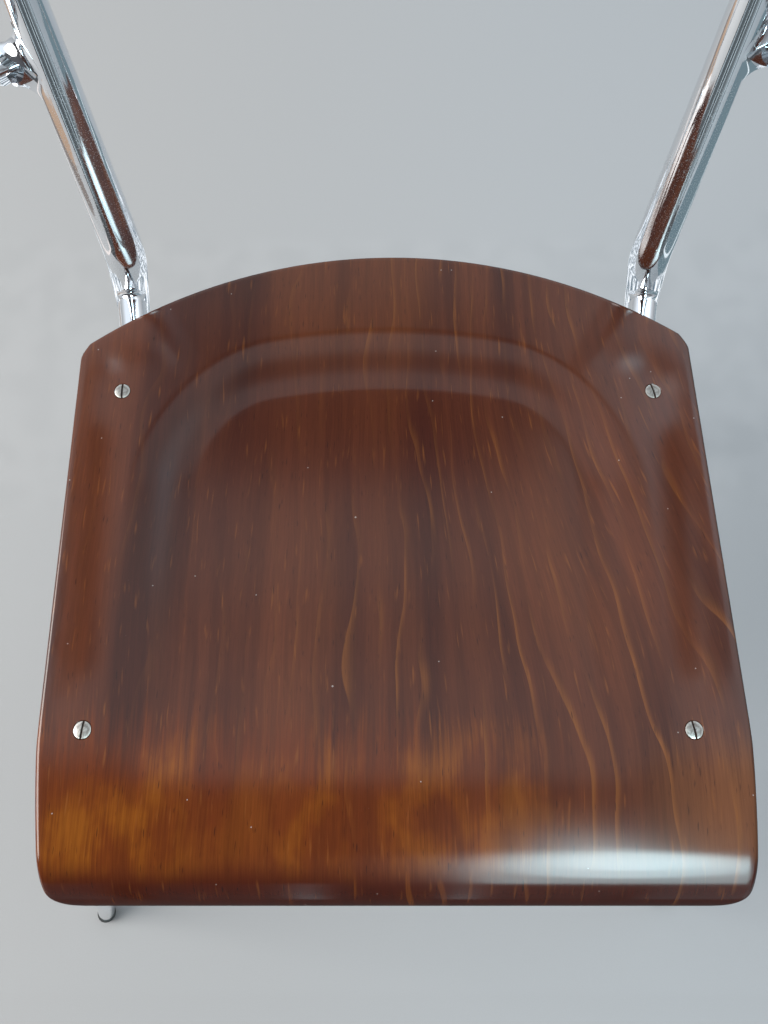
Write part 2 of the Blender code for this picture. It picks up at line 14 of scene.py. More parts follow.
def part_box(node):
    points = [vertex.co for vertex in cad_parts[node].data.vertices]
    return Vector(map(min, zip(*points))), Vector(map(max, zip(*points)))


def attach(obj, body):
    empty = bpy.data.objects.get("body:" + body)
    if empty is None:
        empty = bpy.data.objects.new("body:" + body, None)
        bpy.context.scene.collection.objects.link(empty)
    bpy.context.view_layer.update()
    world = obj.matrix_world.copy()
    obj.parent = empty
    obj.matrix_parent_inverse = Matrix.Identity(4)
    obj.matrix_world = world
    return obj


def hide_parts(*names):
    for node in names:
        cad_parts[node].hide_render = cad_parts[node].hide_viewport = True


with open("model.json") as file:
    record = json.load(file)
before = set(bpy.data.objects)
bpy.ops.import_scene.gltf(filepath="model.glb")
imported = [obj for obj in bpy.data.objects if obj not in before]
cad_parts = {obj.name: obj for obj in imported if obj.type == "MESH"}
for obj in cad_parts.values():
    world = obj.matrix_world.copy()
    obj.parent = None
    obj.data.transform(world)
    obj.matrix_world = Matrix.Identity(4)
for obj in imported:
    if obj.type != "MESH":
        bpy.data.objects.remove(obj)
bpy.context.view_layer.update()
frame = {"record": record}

SIDES = {"left": -1, "right": 1}
UP = Vector((0, 0, 1))
GAP = 0.0003  # clearance between pieces that touch
FINITE_STEP = 0.0002  # used to work out surface normals


# Places that the frame gives

def middle(node):
    low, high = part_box(node)
    return (low + high) / 2


def floor_point(name):
    mounts = frame["record"]["mounts"]
    return Vector(next(mount["pos_m"] for mount in mounts if mount["name"] == name))


def mirrored(point, side):
    return Vector((point.x * SIDES[side], point.y, point.z))


SCREW_X = middle("seat_screw_front_right").x
SEAT_SCREW_Y = {place: middle("seat_screw_" + place + "_right").y for place in ("front", "rear")}
RAIL_Z = middle("front_cross_tube").z
CROSS_Y = {place: middle(place + "_cross_tube").y for place in ("front", "rear")}
ARM_X = middle("arm_plug_right").x
FRONT_FOOT = {side: floor_point("floor_front_" + side) for side in SIDES}
REAR_FOOT = floor_point("floor_rear_right")

# Seat panel
SEAT_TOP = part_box("seat_panel")[1].z
SEAT_HALF_WIDTH = 0.2018
SEAT_REAR_Y = 0.184
SEAT_REAR_RADIUS = 0.332  # the rear edge is an arc in plan
SEAT_REAR_CORNER = 0.008
SEAT_REAR_TRIM = 0.005
SEAT_FRONT_CORNER = 0.018
SEAT_TAPER = 0.0085  # how much each side draws in before its front corner
SEAT_TAPER_LENGTH = 0.100
SEAT_TAPER_POWER = 1.2
SEAT_TURN = 0.020  # the sides and rear edge are turned a little on the frame
SEAT_TURN_Y = 0.040  # the turn's centre
PLY = 0.009
PLY_EDGE = 0.0028
DIP_Y = -0.117  # where the border starts to dip towards the front
DIP_LENGTH = 0.080
DIP_RADIUS = 0.600
ROLL_RADIUS = 0.037  # front roll
ROLL_TURN = math.radians(67)
DISH_DEPTH = 0.009
DISH_HALF_WIDTH = 0.162
DISH_REAR_Y = 0.126
DISH_REAR_RADIUS = 0.420
DISH_CORNER = 0.085
DISH_SLOPE = 0.042
DISH_FADE_Y = (-0.175, -0.030)
SEAT_CELLS = (132, 148)
HOLE_CELLS = 3  # half width, in cells, of the ring of mesh round a hole
HOLE_BREAK = 0.0002

# Screws, spacers and nuts
SHANK_RADIUS = 0.0025
HEAD_RADIUS = 0.0050
HEAD_RIM = 0.0006
HEAD_DEPTH = 0.0030
HEAD_DOME = 0.0007
HEAD_BREAK = 0.00025  # worn edge of a head
DOME_SHARES = (0.2, 0.4, 0.6, 0.8, 0.93)
WEAR_WIDTH = 0.00008  # rounding of the head's and slot's edges
WEAR_ANGLE = math.radians(50)
SLOT_WIDTH = 0.0012
SLOT_DEPTH = 0.0012
SLOT_TURN = {"front_left": -5, "front_right": 9, "rear_left": 2, "rear_right": 12}
BACK_SLOT_TURN = 10
SPACER_RADIUS = 0.009
SPACER_BULGE = 0.0003
SPACER_BREAK = 0.0006
NUT_RADIUS = 0.0052
NUT_BODY = 0.0045
NUT_HEIGHT = 0.0085
NUT_BREAK = 0.0004
NUT_FACE = 0.93 * NUT_RADIUS
NUT_DOME = 0.84 * NUT_RADIUS
NUT_DOME_RISE = 0.93 * (NUT_HEIGHT - NUT_BODY)
NUT_TURNS = (0.0, 0.25, 0.5, 0.75, 1.0, 1.25, 1.42)
THREAD_IN_NUT = 0.0055
PAN_RADIUS = 0.0045
PAN_HEIGHT = 0.0024
PAN_SHAPE = ((0, 1.0), (0.45, 0.97), (0.75, 0.85), (0.93, 0.6), (1, 0.3), (1, 0), (0, 0))

# Tubes
KNEE = Vector((0.1728, 0.1683, 0.4763))
KNEE_BEND = 0.060
KNEE_RADIUS = 0.0130
RECLINE = 0.2208  # upright's run back per unit height
DIVERGE = 0.0385  # upright's run outwards per unit height
UPRIGHT_TOP = 0.788
UPRIGHT_TOP_RADIUS = 0.0076
LEG_END_RADIUS = 0.0080
RAIL_RADIUS = 0.010
RAIL_FRONT_Y = -0.170
RAIL_KINK_Y = 0.110
LEG_BEND = 0.045
KINK_BEND = 0.080
CROSS_RADIUS = 0.008
ARM_JOINT_Z = {"left": 0.600, "right": 0.610}
ARM_BEND = 0.045
ARM_FRONT = Vector((ARM_X, -0.090, 0.640))
ARM_RADIUS = 0.0103
ARM_END_RADIUS = 0.0085
ARM_FILLET = 0.0135  # brazed fillets where tubes meet
RAIL_FILLET = 0.0040
CROSS_FILLET = 0.0030
ROOT_DEPTH = 0.0012  # how far a branch's end is sunk into its host
WELD_CLEARANCE = 0.002

# Arm pads
PAD_HALF_WIDTH = 0.022
PAD_THICKNESS = 0.017
PAD_EDGE = 0.006
PAD_SINK = 0.004
PAD_REACH = (0.006, 0.230)
PAD_CORNER = 0.020
PAD_CELLS = (44, 120)
GROOVE_TAPER = 0.8  # the groove widens this much of the tube's own taper
ARM_SCREW_FROM_END = {"front": 0.035, "rear": 0.165}
ARM_SCREW_SINK = 0.0004

# Back panel
BACK_Z = 0.735
BACK_HALF_WIDTH = 0.205
BACK_HALF_HEIGHT = 0.080
BACK_CORNER = 0.045
BACK_CROWN = 0.010
BACK_RADIUS = 0.420
BACK_CELLS = (140, 66)
BACK_SCREW_OFFSET = {"lower": -0.037, "upper": 0.037}

# Feet and plugs
FOOT_HEIGHT = 0.0130
FOOT_RADIUS = 0.0088
FOOT_TIP_RADIUS = 0.0066
FOOT_OVERRUN = 0.0035
FOOT_SIDE = ((0, 0.30), (0.0004, 0.34), (0.0004, 0.38), (0, 0.42), (0, 0.55), (0.0006, 0.72))
FOOT_TOE = ((0.0007, 0.88), (0, 0.97), (-0.0006, 1.0))
FLOOR_CLEARANCE = 0.00002
PLUG_DOME = 0.003
PLUG_LIP = 0.0002
PLUG_EDGE = 0.4  # height of a plug's edge, and how far its crown rises,
PLUG_CROWN = 0.8  # in domes
PLUG_TURNS = (0.35, 0.7, 1.0, 1.3)

# Mesh density
TUBE_SIDES = 56
TURNED_SIDES = 48
BEND_STEPS = 22
RING_SPACING = 0.012
FILLET_STEPS = 12
EDGE_STEPS = 6
EVEN_ROWS = 0.45  # how evenly a panel's rows of cells are spread
TOP_SHARES = (0.6, 0.3, 0.1)  # rings round a hole, as shares of the way to its border
BOTTOM_SHARES = (0.3, 0.6)
SHARP = math.radians(32)


def smoothstep(value):
    value = min(max(value, 0.0), 1.0)
    return value * value * (3 - 2 * value)


def standing(position, axis):
    """A placement whose +Z runs along the axis."""
    return Matrix.Translation(position) @ axis.to_track_quat("Z", "Y").to_matrix().to_4x4()


def new_object(name, data):
    item = bpy.data.objects.new(name, data)
    bpy.context.scene.collection.objects.link(item)
    return item


# Meshes

def new_mesh():
    """A bmesh whose points also carry their place on the piece, for the materials."""
    bm = bmesh.new()
    bm.verts.layers.float_vector.new("place")
    return bm


def add_point(bm, position, place):
    vert = bm.verts.new(position)
    vert[bm.verts.layers.float_vector["place"]] = place
    return vert


def finish_piece(name, bm, material, nodes):
    """Closes a bmesh into a piece that stands for CAD nodes and rides on the frame."""
    bmesh.ops.recalc_face_normals(bm, faces=bm.faces)
    mesh = bpy.data.meshes.new(name)
    bm.to_mesh(mesh)
    bm.free()
    mesh.shade_smooth()
    mesh.set_sharp_from_angle(angle=SHARP)
    mesh.materials.append(material)
    piece = new_object(name, mesh)
    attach(piece, "root")
    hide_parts(*nodes)
    return piece


def join_rings(bm, rings):
    for one, two in zip(rings, rings[1:]):
        count = max(len(one), len(two))
        for step in range(count):
            after = (step + 1) % count
            near = [one[step % len(one)], one[after % len(one)]]
            far = [two[after % len(two)], two[step % len(two)]]
            bm.faces.new(list(dict.fromkeys(near + far)))


# Tubes

def rounded_path(corners, radii):
    """Points along straight runs joined by arcs."""
    points = [corners[0]]
    for before, corner, after, radius in zip(corners, corners[1:], corners[2:], radii):
        back = (before - corner).normalized()
        ahead = (after - corner).normalized()
        half = back.angle(ahead) / 2
        start = corner + back * (radius / math.tan(half))
        centre = corner + (back + ahead).normalized() * (radius / math.sin(half))
        spoke = start - centre
        hinge = spoke.cross(-back)
        for step in range(BEND_STEPS + 1):
            turn = Matrix.Rotation((math.pi - 2 * half) * step / BEND_STEPS, 3, hinge)
            points.append(centre + turn @ spoke)
    points.append(corners[-1])
    return points


def finely(points):
    """The same path, with its straight runs split into short steps."""
    fine = [points[0]]
    for one, two in zip(points, points[1:]):
        steps = max(1, math.ceil((two - one).length / RING_SPACING))
        fine += [one.lerp(two, step / steps) for step in range(1, steps + 1)]
    return fine


def path_lengths(points):
    lengths = [0.0]
    for one, two in zip(points, points[1:]):
        lengths.append(lengths[-1] + (two - one).length)
    return lengths


def path_frames(points, first_side):
    """Side and up directions at each point, carried along without twist."""
    frames = []
    side = first_side
    for index in range(len(points)):
        ahead = points[min(index + 1, len(points) - 1)] - points[index]
        behind = points[index] - points[max(index - 1, 0)]
        tangent = (ahead.normalized() + behind.normalized()).normalized()
        side = (side - tangent * side.dot(tangent)).normalized()
        frames.append((side, tangent.cross(side)))
    return frames


def around(step):
    turn = 2 * math.pi * step / TUBE_SIDES
    return math.cos(turn), math.sin(turn)


def tube_rings(bm, points, radius_at, first_side):
    rings = []
    lengths = path_lengths(points)
    for point, (side, up), length in zip(points, path_frames(points, first_side), lengths):
        radius = radius_at(length, lengths[-1])
        ring = []
        for step in range(TUBE_SIDES):
            c, s = around(step)
            place = (radius * c, radius * s, length)
            ring.append(add_point(bm, point + side * (radius * c) + up * (radius * s), place))
        rings.append(ring)
    return rings


def weld_rings(bm, joint, host_axis, host_radius, ahead, radius, fillet):
    """Rings of a filleted joint, from inside the host tube out to the branch's own surface.

    A ball of the fillet's radius rolls round the joint and touches both tubes.
    """
    up = (host_axis - ahead * host_axis.dot(ahead)).normalized()
    across = up.cross(ahead)
    lean = host_axis.dot(ahead)
    square = host_axis.dot(up)
    rings = [[] for _ in range(FILLET_STEPS + 2)]
    for step in range(TUBE_SIDES):
        c, s = around(step)
        high = (radius + fillet) * c
        wide = (radius + fillet) * s
        out = math.sqrt(max((host_radius + fillet) ** 2 - wide ** 2, 0)) / square + high * lean / square
        ball = ahead * out + across * wide + up * high
        on_axis = host_axis * ball.dot(host_axis)
        to_host = (on_axis - ball).normalized()
        to_branch = up * -c + across * -s
        positions = [ball + to_host * (fillet + ROOT_DEPTH)]
        for turn in range(FILLET_STEPS + 1):
            positions.append(ball + to_host.slerp(to_branch, turn / FILLET_STEPS, to_branch) * fillet)
        for ring, position in zip(rings, positions):
            ring.append(add_point(bm, joint + position, (radius * c, radius * s, position.dot(ahead))))
    return rings, up


def weld_reach(host_radius, fillet):
    """How far from the host's axis the plain tube starts, clear of the fillet."""
    return host_radius + fillet + WELD_CLEARANCE


def close_tube(node, bm, rings, chrome):
    join_rings(bm, rings)
    bm.faces.new(rings[0])
    bm.faces.new(rings[-1])
    finish_piece("chrome_" + node, bm, chrome, [node])


def upright_point(side, z):
    return mirrored(KNEE + Vector((DIVERGE, RECLINE, 1)) * (z - KNEE.z), side)


def upright_radius(z):
    return KNEE_RADIUS + (UPRIGHT_TOP_RADIUS - KNEE_RADIUS) * (z - KNEE.z) / (UPRIGHT_TOP - KNEE.z)


def leg_end(floor, joint):
    return floor + (joint - floor).normalized() * FOOT_HEIGHT


def rear_radius(length, total):
    """Widest at the knee, narrowing to the foot and to the top."""
    below = (KNEE - REAR_FOOT).length - FOOT_HEIGHT
    if length < below:
        return LEG_END_RADIUS + (KNEE_RADIUS - LEG_END_RADIUS) * length / below
    above = (length - below) / (total - below)
    return KNEE_RADIUS + (UPRIGHT_TOP_RADIUS - KNEE_RADIUS) * min(above, 1)


def front_radius(length, total):
    leg = (FRONT_FOOT["right"] - Vector((SCREW_X, RAIL_FRONT_Y, RAIL_Z))).length
    return LEG_END_RADIUS + (RAIL_RADIUS - LEG_END_RADIUS) * min(length / leg, 1)


def arm_radius(length, total):
    return ARM_RADIUS + (ARM_END_RADIUS - ARM_RADIUS) * length / total


def make_rear_leg(side, chrome):
    bm = new_mesh()
    knee = mirrored(KNEE, side)
    end = leg_end(mirrored(REAR_FOOT, side), knee)
    path = finely(rounded_path([end, knee, upright_point(side, UPRIGHT_TOP)], [KNEE_BEND]))
    rings = tube_rings(bm, path, rear_radius, Vector((0, 1, 0)))
    close_tube(side + "_rear_leg_upright", bm, rings, chrome)


def make_rail(side, chrome):
    """The front leg, the rail under the seat, and its weld to the rear leg."""
    bm = new_mesh()
    down = (KNEE.z - RAIL_Z) / KNEE.z
    joint = mirrored(KNEE + (REAR_FOOT - KNEE) * down, side)
    corner = mirrored(Vector((SCREW_X, RAIL_FRONT_Y, RAIL_Z)), side)
    kink = mirrored(Vector((SCREW_X, RAIL_KINK_Y, RAIL_Z)), side)
    ahead = (kink - joint).normalized()
    leg_axis = mirrored(KNEE - REAR_FOOT, side).normalized()
    host_radius = KNEE_RADIUS + (LEG_END_RADIUS - KNEE_RADIUS) * down
    weld, up = weld_rings(bm, joint, leg_axis, host_radius, ahead, RAIL_RADIUS, RAIL_FILLET)
    start = joint + ahead * weld_reach(host_radius, RAIL_FILLET)
    end = leg_end(FRONT_FOOT[side], corner)
    path = finely(rounded_path([start, kink, corner, end], [KINK_BEND, LEG_BEND]))
    total = path_lengths(path)[-1]
    rings = tube_rings(bm, path, lambda length, whole: front_radius(total - length, whole), up)
    close_tube(side + "_front_leg_rail", bm, weld + rings, chrome)


def make_cross_tube(place, chrome):
    bm = new_mesh()
    ends = [Vector((sign * SCREW_X, CROSS_Y[place], RAIL_Z)) for sign in (-1, 1)]
    along = Vector((1, 0, 0))
    rail_axis = Vector((0, 1, 0))
    first, up = weld_rings(bm, ends[0], rail_axis, RAIL_RADIUS, along, CROSS_RADIUS, CROSS_FILLET)
    reach = along * weld_reach(RAIL_RADIUS, CROSS_FILLET)
    path = finely([ends[0] + reach, ends[1] - reach])
    rings = tube_rings(bm, path, lambda length, total: CROSS_RADIUS, up)
    last, _ = weld_rings(bm, ends[1], rail_axis, RAIL_RADIUS, -along, CROSS_RADIUS, CROSS_FILLET)
    turned = [[ring[-step % TUBE_SIDES] for step in range(TUBE_SIDES)] for ring in last[::-1]]
    close_tube(place + "_cross_tube", bm, first + rings + turned, chrome)


def arm_tip(side):
    return mirrored(ARM_FRONT, side)


def arm_elbow(side):
    joint = upright_point(side, ARM_JOINT_Z[side])
    return Vector((ARM_X * SIDES[side], joint.y, joint.z))


def make_arm(side, chrome):
    """The arm, which grows out of the upright through a large brazed fillet."""
    bm = new_mesh()
    joint = upright_point(side, ARM_JOINT_Z[side])
    elbow = arm_elbow(side)
    outward = (elbow - joint).normalized()
    axis = (upright_point(side, 1) - upright_point(side, 0)).normalized()
    host_radius = upright_radius(joint.z)
    weld, up = weld_rings(bm, joint, axis, host_radius, outward, ARM_RADIUS, ARM_FILLET)
    reach = weld_reach(host_radius, ARM_FILLET)
    path = finely(rounded_path([joint + outward * reach, elbow, arm_tip(side)], [ARM_BEND]))
    rings = tube_rings(bm, path, arm_radius, up)
    close_tube(side + "_arm_tube", bm, weld + rings, chrome)


# Turned pieces

def turned_mesh(profile, hexagonal=(), lowest=None):
    """Turns a profile of (radius, height) pairs about +Z; the hexagonal ones get six flats.

    lowest, where given, is a function that gives the height of the first and last rings instead.
    """
    bm = new_mesh()
    rings = []
    for index, (radius, height) in enumerate(profile):
        if radius == 0:
            rings.append([add_point(bm, (0, 0, height), (0, 0, height))])
            continue
        ring = []
        for step in range(TURNED_SIDES):
            angle = 2 * math.pi * step / TURNED_SIDES
            reach = radius
            if index in hexagonal:
                reach /= math.cos(angle % (math.pi / 3) - math.pi / 6)
            x, y = reach * math.cos(angle), reach * math.sin(angle)
            z = height if lowest is None or height is not None else lowest(x, y)
            ring.append(add_point(bm, (x, y, z), (x, y, z)))
        rings.append(ring)
    join_rings(bm, rings)
    return bm, rings


def make_turned(name, place, profile, material, node, hexagonal=()):
    bm, _ = turned_mesh(profile, hexagonal)
    finish_piece(name, bm, material, [node]).data.transform(place)


def make_screw(name, place, length, slot_turn, material, node):
    """A countersunk screw, slotted and a little domed, its rim level with its own Z of 0."""
    profile = [(0, HEAD_DOME)]
    profile += [(HEAD_RADIUS * share, HEAD_DOME * (1 - share ** 2)) for share in DOME_SHARES]
    profile += [(HEAD_RADIUS - HEAD_BREAK / 3, 0), (HEAD_RADIUS, -HEAD_BREAK), (HEAD_RADIUS, -HEAD_RIM),
                (SHANK_RADIUS, -HEAD_DEPTH), (SHANK_RADIUS, -length), (0, -length)]
    bm, _ = turned_mesh(profile)
    piece = finish_piece(name, bm, material, [node])
    cutter_mesh = bpy.data.meshes.new(name + "_slot")
    cutter_bm = bmesh.new()
    box = Matrix.Diagonal((SLOT_WIDTH, 3 * HEAD_RADIUS, 2 * SLOT_DEPTH, 1))
    turn = Matrix.Rotation(math.radians(slot_turn), 4, "Z")
    bmesh.ops.create_cube(cutter_bm, size=1, matrix=turn @ Matrix.Translation((0, 0, HEAD_DOME)) @ box)
    cutter_bm.to_mesh(cutter_mesh)
    cutter_bm.free()
    cutter = new_object(name + "_slot", cutter_mesh)
    cut = piece.modifiers.new("slot", "BOOLEAN")
    cut.solver = "EXACT"
    cut.object = cutter
    wear = piece.modifiers.new("wear", "BEVEL")
    wear.width = WEAR_WIDTH
    wear.segments = 2
    wear.limit_method = "ANGLE"
    wear.angle_limit = WEAR_ANGLE
    apply_modifiers(piece)
    bpy.data.objects.remove(cutter)
    piece.data.set_sharp_from_angle(angle=SHARP)
    keep_place(piece)
    piece.data.transform(place)


def apply_modifiers(piece):
    graph = bpy.context.evaluated_depsgraph_get()
    mesh = bpy.data.meshes.new_from_object(piece.evaluated_get(graph))
    piece.modifiers.clear()
    old = piece.data
    piece.data = mesh
    bpy.data.meshes.remove(old)
    mesh.name = piece.name


def keep_place(piece):
    """Writes each point's own position as its place, before the piece is moved to where it goes."""
    mesh = piece.data
    layer = mesh.attributes.get("place") or mesh.attributes.new("place", "FLOAT_VECTOR", "POINT")
    for vert in mesh.vertices:
        layer.data[vert.index].vector = vert.co


def make_nut(name, place, material, node):
    """A hexagon nut with a turned dome; its threaded face is at its own Z of 0."""
    profile = [(0, 0), (NUT_FACE, 0), (NUT_RADIUS, NUT_BREAK), (NUT_RADIUS, NUT_BODY - NUT_BREAK)]
    for turn in NUT_TURNS:
        rise = NUT_DOME_RISE * math.sin(turn)
        profile.append((NUT_DOME * math.cos(turn), NUT_BODY + GAP + rise))
    profile.append((0, NUT_HEIGHT))
    make_turned(name, place, profile, material, node, hexagonal=(2, 3))


def make_plug(name, place, radius, material, node):
    """A domed plastic plug that closes a tube's end."""
    profile = [(0, GAP), (radius, GAP), (radius + PLUG_LIP, PLUG_DOME * 0.15)]
    profile.append((radius, PLUG_DOME * PLUG_EDGE))
    for turn in PLUG_TURNS:
        rise = PLUG_EDGE + PLUG_CROWN * math.sin(turn)
        profile.append((radius * math.cos(turn), PLUG_DOME * rise))
    profile.append((0, PLUG_DOME * (PLUG_EDGE + PLUG_CROWN)))
    make_turned(name, place, profile, material, node)


def make_foot(name, floor, joint, material, node):
    """A rubber foot on the leg's end, cut flat where it stands on the floor."""
    down = (floor - joint).normalized()
    tip = FOOT_HEIGHT + FOOT_OVERRUN
    profile = [(0, -0.0002), (LEG_END_RADIUS * 0.98, -0.0002), (FOOT_RADIUS - 0.0003, 0.0002)]
    profile.append((FOOT_RADIUS, 0.0009))
    profile += [(FOOT_RADIUS - inset, tip * share) for inset, share in FOOT_SIDE]
    profile += [(FOOT_TIP_RADIUS + inset, tip * share) for inset, share in FOOT_TOE]
    profile.append((0, tip))
    bm, _ = turned_mesh(profile)
    bmesh.ops.transform(bm, matrix=standing(floor - down * FOOT_HEIGHT, down), verts=bm.verts)
    parts = bm.verts[:] + bm.edges[:] + bm.faces[:]
    level = UP * FLOOR_CLEARANCE
    cut = bmesh.ops.bisect_plane(bm, geom=parts, plane_co=level, plane_no=-UP, clear_outer=True)
    rim = [item for item in cut["geom_cut"] if isinstance(item, bmesh.types.BMEdge)]
    bmesh.ops.contextual_create(bm, geom=rim)
    finish_piece(name, bm, material, [node])


# Bent panels

def rounding(distance, radius):
    """How far an edge is pulled in at a distance from the start of its rounded corner."""
    if distance >= radius:
        return 0.0
    return radius - math.sqrt(radius ** 2 - (radius - distance) ** 2)


def sunk(face, across, run, depth):
    """The point at a depth under a face, along the face's normal."""
    over = face(across + FINITE_STEP, run) - face(across - FINITE_STEP, run)
    along = face(across, run + FINITE_STEP) - face(across, run - FINITE_STEP)
    return face(across, run) - along.cross(over).normalized() * depth


def edge_loop(low, high):
    """Grid places around a block of cells, in order."""
    (left, near), (right, far) = low, high
    loop = [(column, near) for column in range(left, right)]
    loop += [(right, row) for row in range(near, far)]
    loop += [(column, far) for column in range(right, left, -1)]
    return loop + [(left, row) for row in range(far, near, -1)]


def eased(share):
    """Spreads rows so that they are closer together near the ends."""
    return EVEN_ROWS * share + (1 - EVEN_ROWS) * (0.5 - 0.5 * math.cos(math.pi * share))


def make_panel(name, outline, face, depth_at, edge, cells, holes, material, node):
    """A panel with rounded edges and drilled holes.

    outline flattens it and face bends it to its moulded shape. A hole is (across, run, profile),
    the profile being (radius, depth) pairs from the top face to the bottom one.
    """
    bm = new_mesh()
    columns, rows = cells

    def flat(place, inset):
        return outline(2 * place[0] / columns - 1, eased(place[1] / rows), inset)

    def add(spot, depth):
        return add_point(bm, sunk(face, *spot, depth), (*spot, depth))

    def flat_top(place):
        return flat(place, edge)

    blocks = []
    for across, run, profile in holes:
        nearest = min(((c, r) for c in range(columns + 1) for r in range(rows + 1)),
                      key=lambda place: math.dist(flat_top(place), (across, run)))
        low = (nearest[0] - HOLE_CELLS, nearest[1] - HOLE_CELLS)
        high = (nearest[0] + HOLE_CELLS, nearest[1] + HOLE_CELLS)
        blocks.append((low, high))

    def inside_block(place):
        return any(low[0] < place[0] < high[0] and low[1] < place[1] < high[1] for low, high in blocks)

    def cell_in_block(place):
        return any(low[0] <= place[0] < high[0] and low[1] <= place[1] < high[1] for low, high in blocks)

    def sheet(bottom):
        grid = {}
        for place in ((c, r) for c in range(columns + 1) for r in range(rows + 1)):
            if not inside_block(place):
                spot = flat_top(place)
                grid[place] = add(spot, depth_at(*spot) if bottom else 0.0)
        for c in range(columns):
            for r in range(rows):
                if not cell_in_block((c, r)):
                    bm.faces.new((grid[c, r], grid[c + 1, r], grid[c + 1, r + 1], grid[c, r + 1]))
        return grid

    top = sheet(False)
    bottom = sheet(True)
    for (across, run, profile), (low, high) in zip(holes, blocks):
        border = edge_loop(low, high)
        spokes = [Vector(flat_top(place)) - Vector((across, run)) for place in border]

        def ring(radius, depth, share=0.0):
            """A ring round the hole; share moves it from the hole's edge to the block's border."""
            spots = [Vector((across, run)) + spoke.normalized() * radius * (1 - share) + spoke * share
                     for spoke in spokes]
            return [add((spot.x, spot.y), depth) for spot in spots]

        thick = depth_at(across, run)
        rings = [[top[place] for place in border]]
        rings += [ring(profile[0][0], 0.0, share) for share in TOP_SHARES]
        rings += [ring(radius, min(depth, thick)) for radius, depth in profile]
        rings += [ring(profile[-1][0], thick, share) for share in BOTTOM_SHARES]
        rings.append([bottom[place] for place in border])
        join_rings(bm, rings)

    rim = edge_loop((0, 0), (columns, rows))
    loops = [[top[place] for place in rim]]
    turns = [math.pi / 2 * step / EDGE_STEPS for step in range(1, EDGE_STEPS + 1)]
    for turn in turns:
        inset = edge * (1 - math.sin(turn))
        loops.append([add(flat(place, inset), edge * (1 - math.cos(turn))) for place in rim])
    for turn in turns[::-1]:
        loop = []
        for place in rim:
            spot = flat(place, edge * (1 - math.sin(turn)))
            loop.append(add(spot, depth_at(*flat_top(place)) - edge * (1 - math.cos(turn))))
        loops.append(loop)
    loops.append([bottom[place] for place in rim])
    join_rings(bm, loops)
    return finish_piece(name, bm, material, [node])


def countersink():
    """The profile of a panel's hole for a slotted screw."""
    wide = HEAD_RADIUS + GAP
    narrow = SHANK_RADIUS + GAP
    return [(wide + HOLE_BREAK, 0.0), (wide, HOLE_BREAK), (wide, HEAD_RIM + GAP),
            (narrow, HEAD_DEPTH + GAP), (narrow, PLY)]


def dish(x, y):
    """Depth of the seat's hollow: a rounded shape that runs out towards the front."""
    rear = DISH_REAR_Y - DISH_REAR_RADIUS + math.sqrt(DISH_REAR_RADIUS ** 2 - x * x)
    beside = abs(x) - (DISH_HALF_WIDTH - DISH_CORNER)
    behind = y - (rear - DISH_CORNER)
    outside = math.hypot(max(beside, 0), max(behind, 0)) + min(max(beside, behind), 0) - DISH_CORNER
    fade = (y - DISH_FADE_Y[0]) / (DISH_FADE_Y[1] - DISH_FADE_Y[0])
    return DISH_DEPTH * smoothstep(-outside / DISH_SLOPE) * smoothstep(fade)


def seat_face(x, run):
    """The seat's upper face, at a run forward from where the border starts to dip."""
    y = DIP_Y - run
    z = 0.0
    if run > 0:
        turn = min(run, DIP_LENGTH) / DIP_RADIUS
        y = DIP_Y - DIP_RADIUS * math.sin(turn)
        z = -DIP_RADIUS * (1 - math.cos(turn))
        if run > DIP_LENGTH:
            roll = turn + (run - DIP_LENGTH) / ROLL_RADIUS
            y -= ROLL_RADIUS * (math.sin(roll) - math.sin(turn))
            z -= ROLL_RADIUS * (math.cos(turn) - math.cos(roll))
    return Vector((x, y, SEAT_TOP + z - dish(x, y)))


def seat_outline(wide, down, inset):
    def rear_run(x):
        return DIP_Y - (SEAT_REAR_Y - SEAT_REAR_RADIUS + math.sqrt((SEAT_REAR_RADIUS - inset) ** 2 - x * x))

    half = SEAT_HALF_WIDTH - inset
    front_run = DIP_LENGTH + ROLL_RADIUS * ROLL_TURN - inset
    length = front_run - rear_run(half)
    ahead = (1 - down) * length
    half -= rounding(ahead, SEAT_FRONT_CORNER - inset)
    half -= SEAT_TAPER * max(1 - ahead / SEAT_TAPER_LENGTH, 0) ** SEAT_TAPER_POWER
    half -= SEAT_REAR_TRIM * max(1 - down * length / SEAT_REAR_CORNER, 0) ** 2
    x = wide * half
    run = rear_run(x) + (front_run - rear_run(x)) * down
    return x + SEAT_TURN * (run - DIP_Y + SEAT_TURN_Y), run - SEAT_TURN * x * (1 - down)


def make_seat(wood):
    holes = [(sign * SCREW_X, DIP_Y - y, countersink())
             for sign in SIDES.values() for y in SEAT_SCREW_Y.values()]
    make_panel("moulded_seat", seat_outline, seat_face, lambda x, run: PLY, PLY_EDGE, SEAT_CELLS, holes, wood,
               "seat_panel")


def back_frame():
    """Centre of the back between the uprights, with directions across, forward and up the uprights."""
    centre = upright_point("right", BACK_Z)
    up = Vector((0, RECLINE, 1)).normalized()
    forward = Vector((0, -up.z, up.y))
    return Vector((0, centre.y, centre.z)), forward, up


def back_contact(height):
    """Half spacing and radius of the uprights, and the panel's centre of bend, at a height up the back."""
    z = BACK_Z + height * back_frame()[2].z
    half_spacing = upright_point("right", z).x
    reach = BACK_RADIUS + upright_radius(z) + 2 * GAP
    return half_spacing, reach, math.sqrt(reach ** 2 - half_spacing ** 2)


def back_bend_centre(height):
    low, high = (back_contact(offset)[2] for offset in BACK_SCREW_OFFSET.values())
    spread = BACK_SCREW_OFFSET["upper"] - BACK_SCREW_OFFSET["lower"]
    return low + (high - low) * (height - BACK_SCREW_OFFSET["lower"]) / spread


